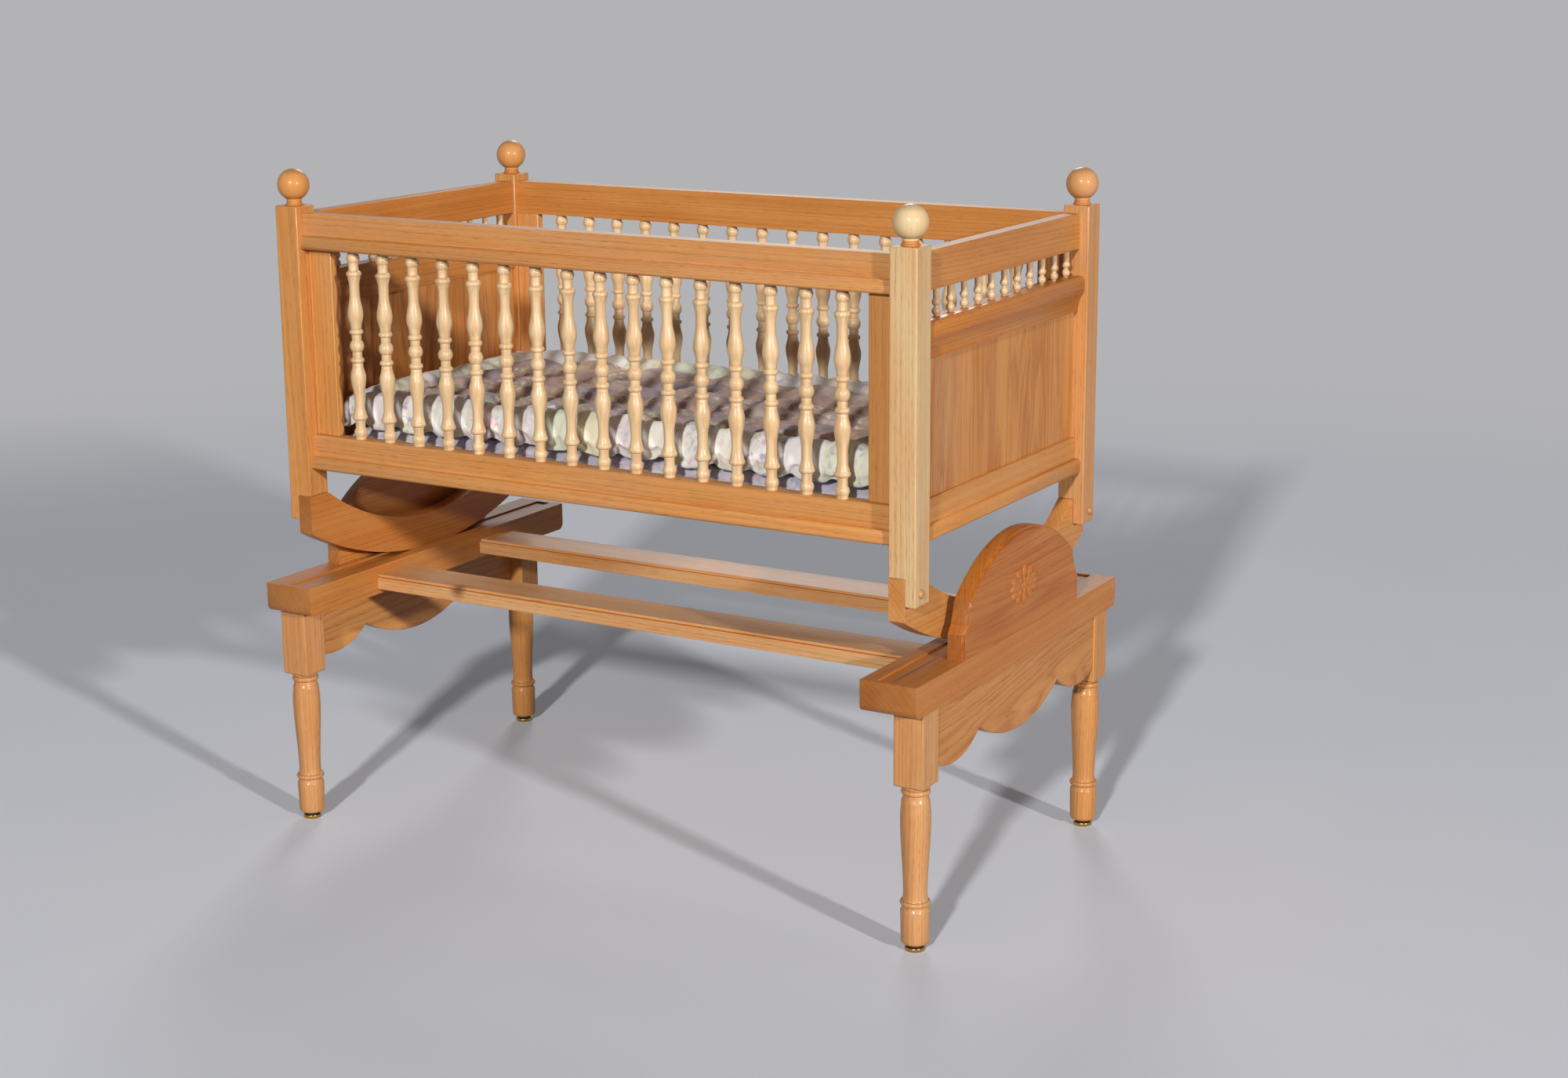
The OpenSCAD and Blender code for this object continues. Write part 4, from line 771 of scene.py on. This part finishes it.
def printed_cotton(name, squares, grounds, prints, border=None):
    """Washed printed cotton: squares of a few pale grounds, each strewn with small blurred
    flowers and leaves about 9 mm across, with a fine weave and a soft sheen. Inside the border
    the squares take the deeper half of the grounds."""
    made, tree, shader = material(name)
    place = add(tree, "TexCoord").outputs["Object"]
    cell = vector(tree, "FLOOR", vector(tree, "MULTIPLY", place, (1 / squares, 1 / squares, 0)))
    chance = add(tree, "TexWhiteNoise", {"Vector": cell}, noise_dimensions="2D").outputs
    pick = chance["Value"]
    if border:
        part = add(tree, "SeparateXYZ", {"Vector": vector(tree, "ABSOLUTE", place)}).outputs
        inner = calc(tree, "MULTIPLY", calc(tree, "LESS_THAN", part["X"], border[0]),
                     calc(tree, "LESS_THAN", part["Y"], border[1]))
        pick = calc(tree, "MULTIPLY", calc(tree, "ADD", inner, pick), 0.5)
    ground = ramp(tree, pick, evenly(grounds), steps=True)
    blur = noise(tree, place, 120.0, 1.0, output="Color")
    blur = vector(tree, "MULTIPLY_ADD", blur, (0.012, 0.012, 0.012), place)
    bloom = add(tree, "TexVoronoi", {"Vector": blur, "Scale": 105.0, "Randomness": 0.9}).outputs
    hue = add(tree, "SeparateColor", {"Color": bloom["Color"]}).outputs["Red"]
    tint = ramp(tree, hue, evenly(prints), steps=True)
    share = add(tree, "SeparateColor", {"Color": chance["Color"]}).outputs["Green"]
    share = remap(tree, share, 0.1, 0.9, to_max=0.8)
    mask = calc(tree, "MULTIPLY", remap(tree, bloom["Distance"], 0.62, 0.3), share)
    tree.links.new(mix(tree, mask, ground, tint), shader.inputs["Base Color"])
    shader.inputs["Roughness"].default_value = 0.85
    shader.inputs["Specular IOR Level"].default_value = 0.25
    shader.inputs["Sheen Weight"].default_value = 0.15
    weave = noise(tree, place, 700.0)
    bump = add(tree, "Bump", {"Height": weave, "Strength": 0.3, "Distance": 0.0004})
    tree.links.new(bump.outputs["Normal"], shader.inputs["Normal"])
    return made


FRAMES, HELD_LEAST = 20, 0.02


def stuffed(node, voxel, draw_in, swell_by, pinned, limits):
    """A pad of padded cotton in place of its node: a copy drawn in a little, remeshed evenly
    and blown up as cloth, held where it is pinned and kept inside its limits."""
    bm = bmesh.new()
    bm.from_mesh(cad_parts[node].data)
    bmesh.ops.remove_doubles(bm, verts=bm.verts, dist=CLOSE)
    bm.normal_update()
    for vert in bm.verts:
        vert.co -= vert.normal * draw_in * MM
    mesh = bpy.data.meshes.new("pad")
    bm.to_mesh(mesh)
    bm.free()
    pad = bpy.data.objects.new("pad", mesh)
    bpy.context.scene.collection.objects.link(pad)
    remesh = pad.modifiers.new("even", "REMESH")
    remesh.mode = "VOXEL"
    remesh.voxel_size = voxel * MM
    even = bpy.data.meshes.new_from_object(pad.evaluated_get(bpy.context.evaluated_depsgraph_get()))
    pad.modifiers.clear()
    pad.data = even
    start = read(even.vertices, "co", 3)
    hold = pinned(start / MM)
    group = pad.vertex_groups.new(name="sewn")
    for index in np.flatnonzero(hold > HELD_LEAST):
        group.add([int(index)], float(hold[index]), "REPLACE")
    cloth = pad.modifiers.new("cloth", "CLOTH")
    cloth.settings.quality = 4
    cloth.settings.mass = 0.25
    cloth.settings.tension_stiffness = cloth.settings.compression_stiffness = 10
    cloth.settings.shear_stiffness = 4
    cloth.settings.bending_stiffness = 0.3
    cloth.settings.use_pressure = True
    cloth.settings.uniform_pressure_force = 4
    cloth.settings.shrink_min = -0.07
    cloth.settings.vertex_group_mass = "sewn"
    cloth.settings.effector_weights.gravity = 0
    cloth.point_cache.frame_start, cloth.point_cache.frame_end = 1, FRAMES
    for step in range(1, FRAMES + 1):
        bpy.context.scene.frame_set(step)
    blown = pad.evaluated_get(bpy.context.evaluated_depsgraph_get()).to_mesh()
    move = read(blown.vertices, "co", 3) - start
    far = np.linalg.norm(move, axis=1, keepdims=True)
    end = start + move * np.minimum(1, swell_by * MM / np.maximum(far, 1e-9))
    end = np.clip(end, np.array(limits[0]) * MM, np.array(limits[1]) * MM)
    bpy.context.scene.frame_set(1)
    pad.modifiers.clear()
    bm = bmesh.new()
    bm.from_mesh(even)
    bpy.data.objects.remove(pad)
    for vert, place in zip(bm.verts, end):
        vert.co = place
    for face in bm.faces:
        face.smooth = True
    return bm


def to_seam(values, pitch):
    """Distance from the nearest line of a grid that runs through the middle."""
    return np.abs((values + pitch / 2) % pitch - pitch / 2)


def rim(x, y, half_x, half_y, width):
    """Nought inside a rim, and up to one across its width."""
    return min(1, max(0, abs(x) - half_x, abs(y) - half_y) / width)


SQUARE, BORDER_X, BORDER_Y = 59.7, 418, 179
SEAM, NO_SEAM = 4, 99
UNDER_LEVEL, UNDER_X, UNDER_Y, SEAM_LEVEL = 623, 455, 216, 628


def quilt_seams(place):
    """How firmly each point of the quilt is held: along its seams, and underneath its middle."""
    x, y, z = place.T
    far_x, far_y = np.abs(x), np.abs(y)
    in_x, in_y = far_x < BORDER_X + SEAM, far_y < BORDER_Y + SEAM
    seam = to_seam(x, SQUARE)
    seam = np.where(in_x & in_y, np.minimum(seam, to_seam(y, SQUARE)), seam)
    seam = np.minimum(seam, np.where(in_x, np.abs(far_y - BORDER_Y), NO_SEAM))
    seam = np.minimum(seam, np.where(in_y, np.abs(far_x - BORDER_X), NO_SEAM))
    under = np.clip((UNDER_LEVEL - z) / 3, 0, 1) * (far_x < UNDER_X) * (far_y < UNDER_Y)
    return np.maximum(np.clip(1.6 - seam / SEAM, 0, 1) * (z > SEAM_LEVEL), under)


FLAT_X, FLAT_Y, FLAT_ABOVE, FLAT_BELOW = 462, 225, 609, 594
STITCH_LEVEL, STITCH_PITCH = 602, 80


def mattress_seams(place):
    """The mattress is held flat above and below and sewn every 80 mm along its sides."""
    x, y, z = place.T
    flat = np.maximum(np.clip((z - FLAT_ABOVE) / 4, 0, 1), np.clip((FLAT_BELOW - z) / 4, 0, 1))
    flat = flat * (np.abs(y) < FLAT_Y) * (np.abs(x) < FLAT_X)
    sewn = np.clip(1.5 - np.abs(z - STITCH_LEVEL) / 3, 0, 0.5) * (to_seam(x, STITCH_PITCH) < 6)
    return np.maximum(flat, sewn)


quilt_cotton = printed_cotton(
    "printed_patchwork_cotton", SQUARE * MM,
    ["#F0EEE6", "#DFE6D2", "#E8E2E4", "#ECE8CE", "#E6E8E8",
     "#B6998E", "#AE9FA8", "#C3A59C", "#BC9C86", "#C6B2A8"],
    ["#B9D4AE", "#E0DC9E", "#DDAFBC", "#ACA2CB", "#F4F3F0"], border=(BORDER_X * MM, BORDER_Y * MM))
mattress_cotton = printed_cotton(
    "lilac_printed_cotton", 0.11, ["#CDCAD6", "#C2BED0", "#D8D7DE"], ["#B3ACCA", "#E6E6EA", "#CDB9C8"])

MATTRESS_ROOM = ((-470, -229, 586.7), (470, 229, 616.5))
QUILT_ROOM = ((-487, -246.5, 617.0), (487, 246.5, 694))
RIM_LEVEL, PRESSED = 597, 0.85
HANG, HANG_FROM, HANG_OVER = 18, 660, 40
TOP_FROM, SUNK = 640, 4

bm = stuffed("mattress", voxel=8, draw_in=2.5, swell_by=5, pinned=mattress_seams, limits=MATTRESS_ROOM)
for vert in bm.verts:
    x, y, z = vert.co / MM
    thin = PRESSED * rim(x, y, half_x=450, half_y=209, width=20)
    vert.co.z -= thin * max(0, z - RIM_LEVEL) * MM
mattress = finish_piece("cotton_mattress", bm, "mattress", ["mattress"], mattress_cotton)

bm = stuffed("quilt", voxel=7, draw_in=6, swell_by=13, pinned=quilt_seams, limits=QUILT_ROOM)
for vert in bm.verts:
    x, y, z = vert.co / MM
    over = rim(x, y, half_x=462, half_y=221, width=14)
    vert.co.z -= HANG * MM * over * min(1, max(0, (HANG_FROM - z) / HANG_OVER))
bm.normal_update()
hold = quilt_seams(np.array([vert.co for vert in bm.verts]) / MM)
for vert, held in zip(bm.verts, hold):
    if vert.co.z > TOP_FROM * MM:
        vert.co -= vert.normal * SUNK * MM * held
quilt = finish_piece("cotton_quilt", bm, "quilt", ["quilt"], quilt_cotton)

for pad in (mattress, quilt):
    smooth = pad.modifiers.new("even", "SUBSURF")
    smooth.levels = smooth.render_levels = 1
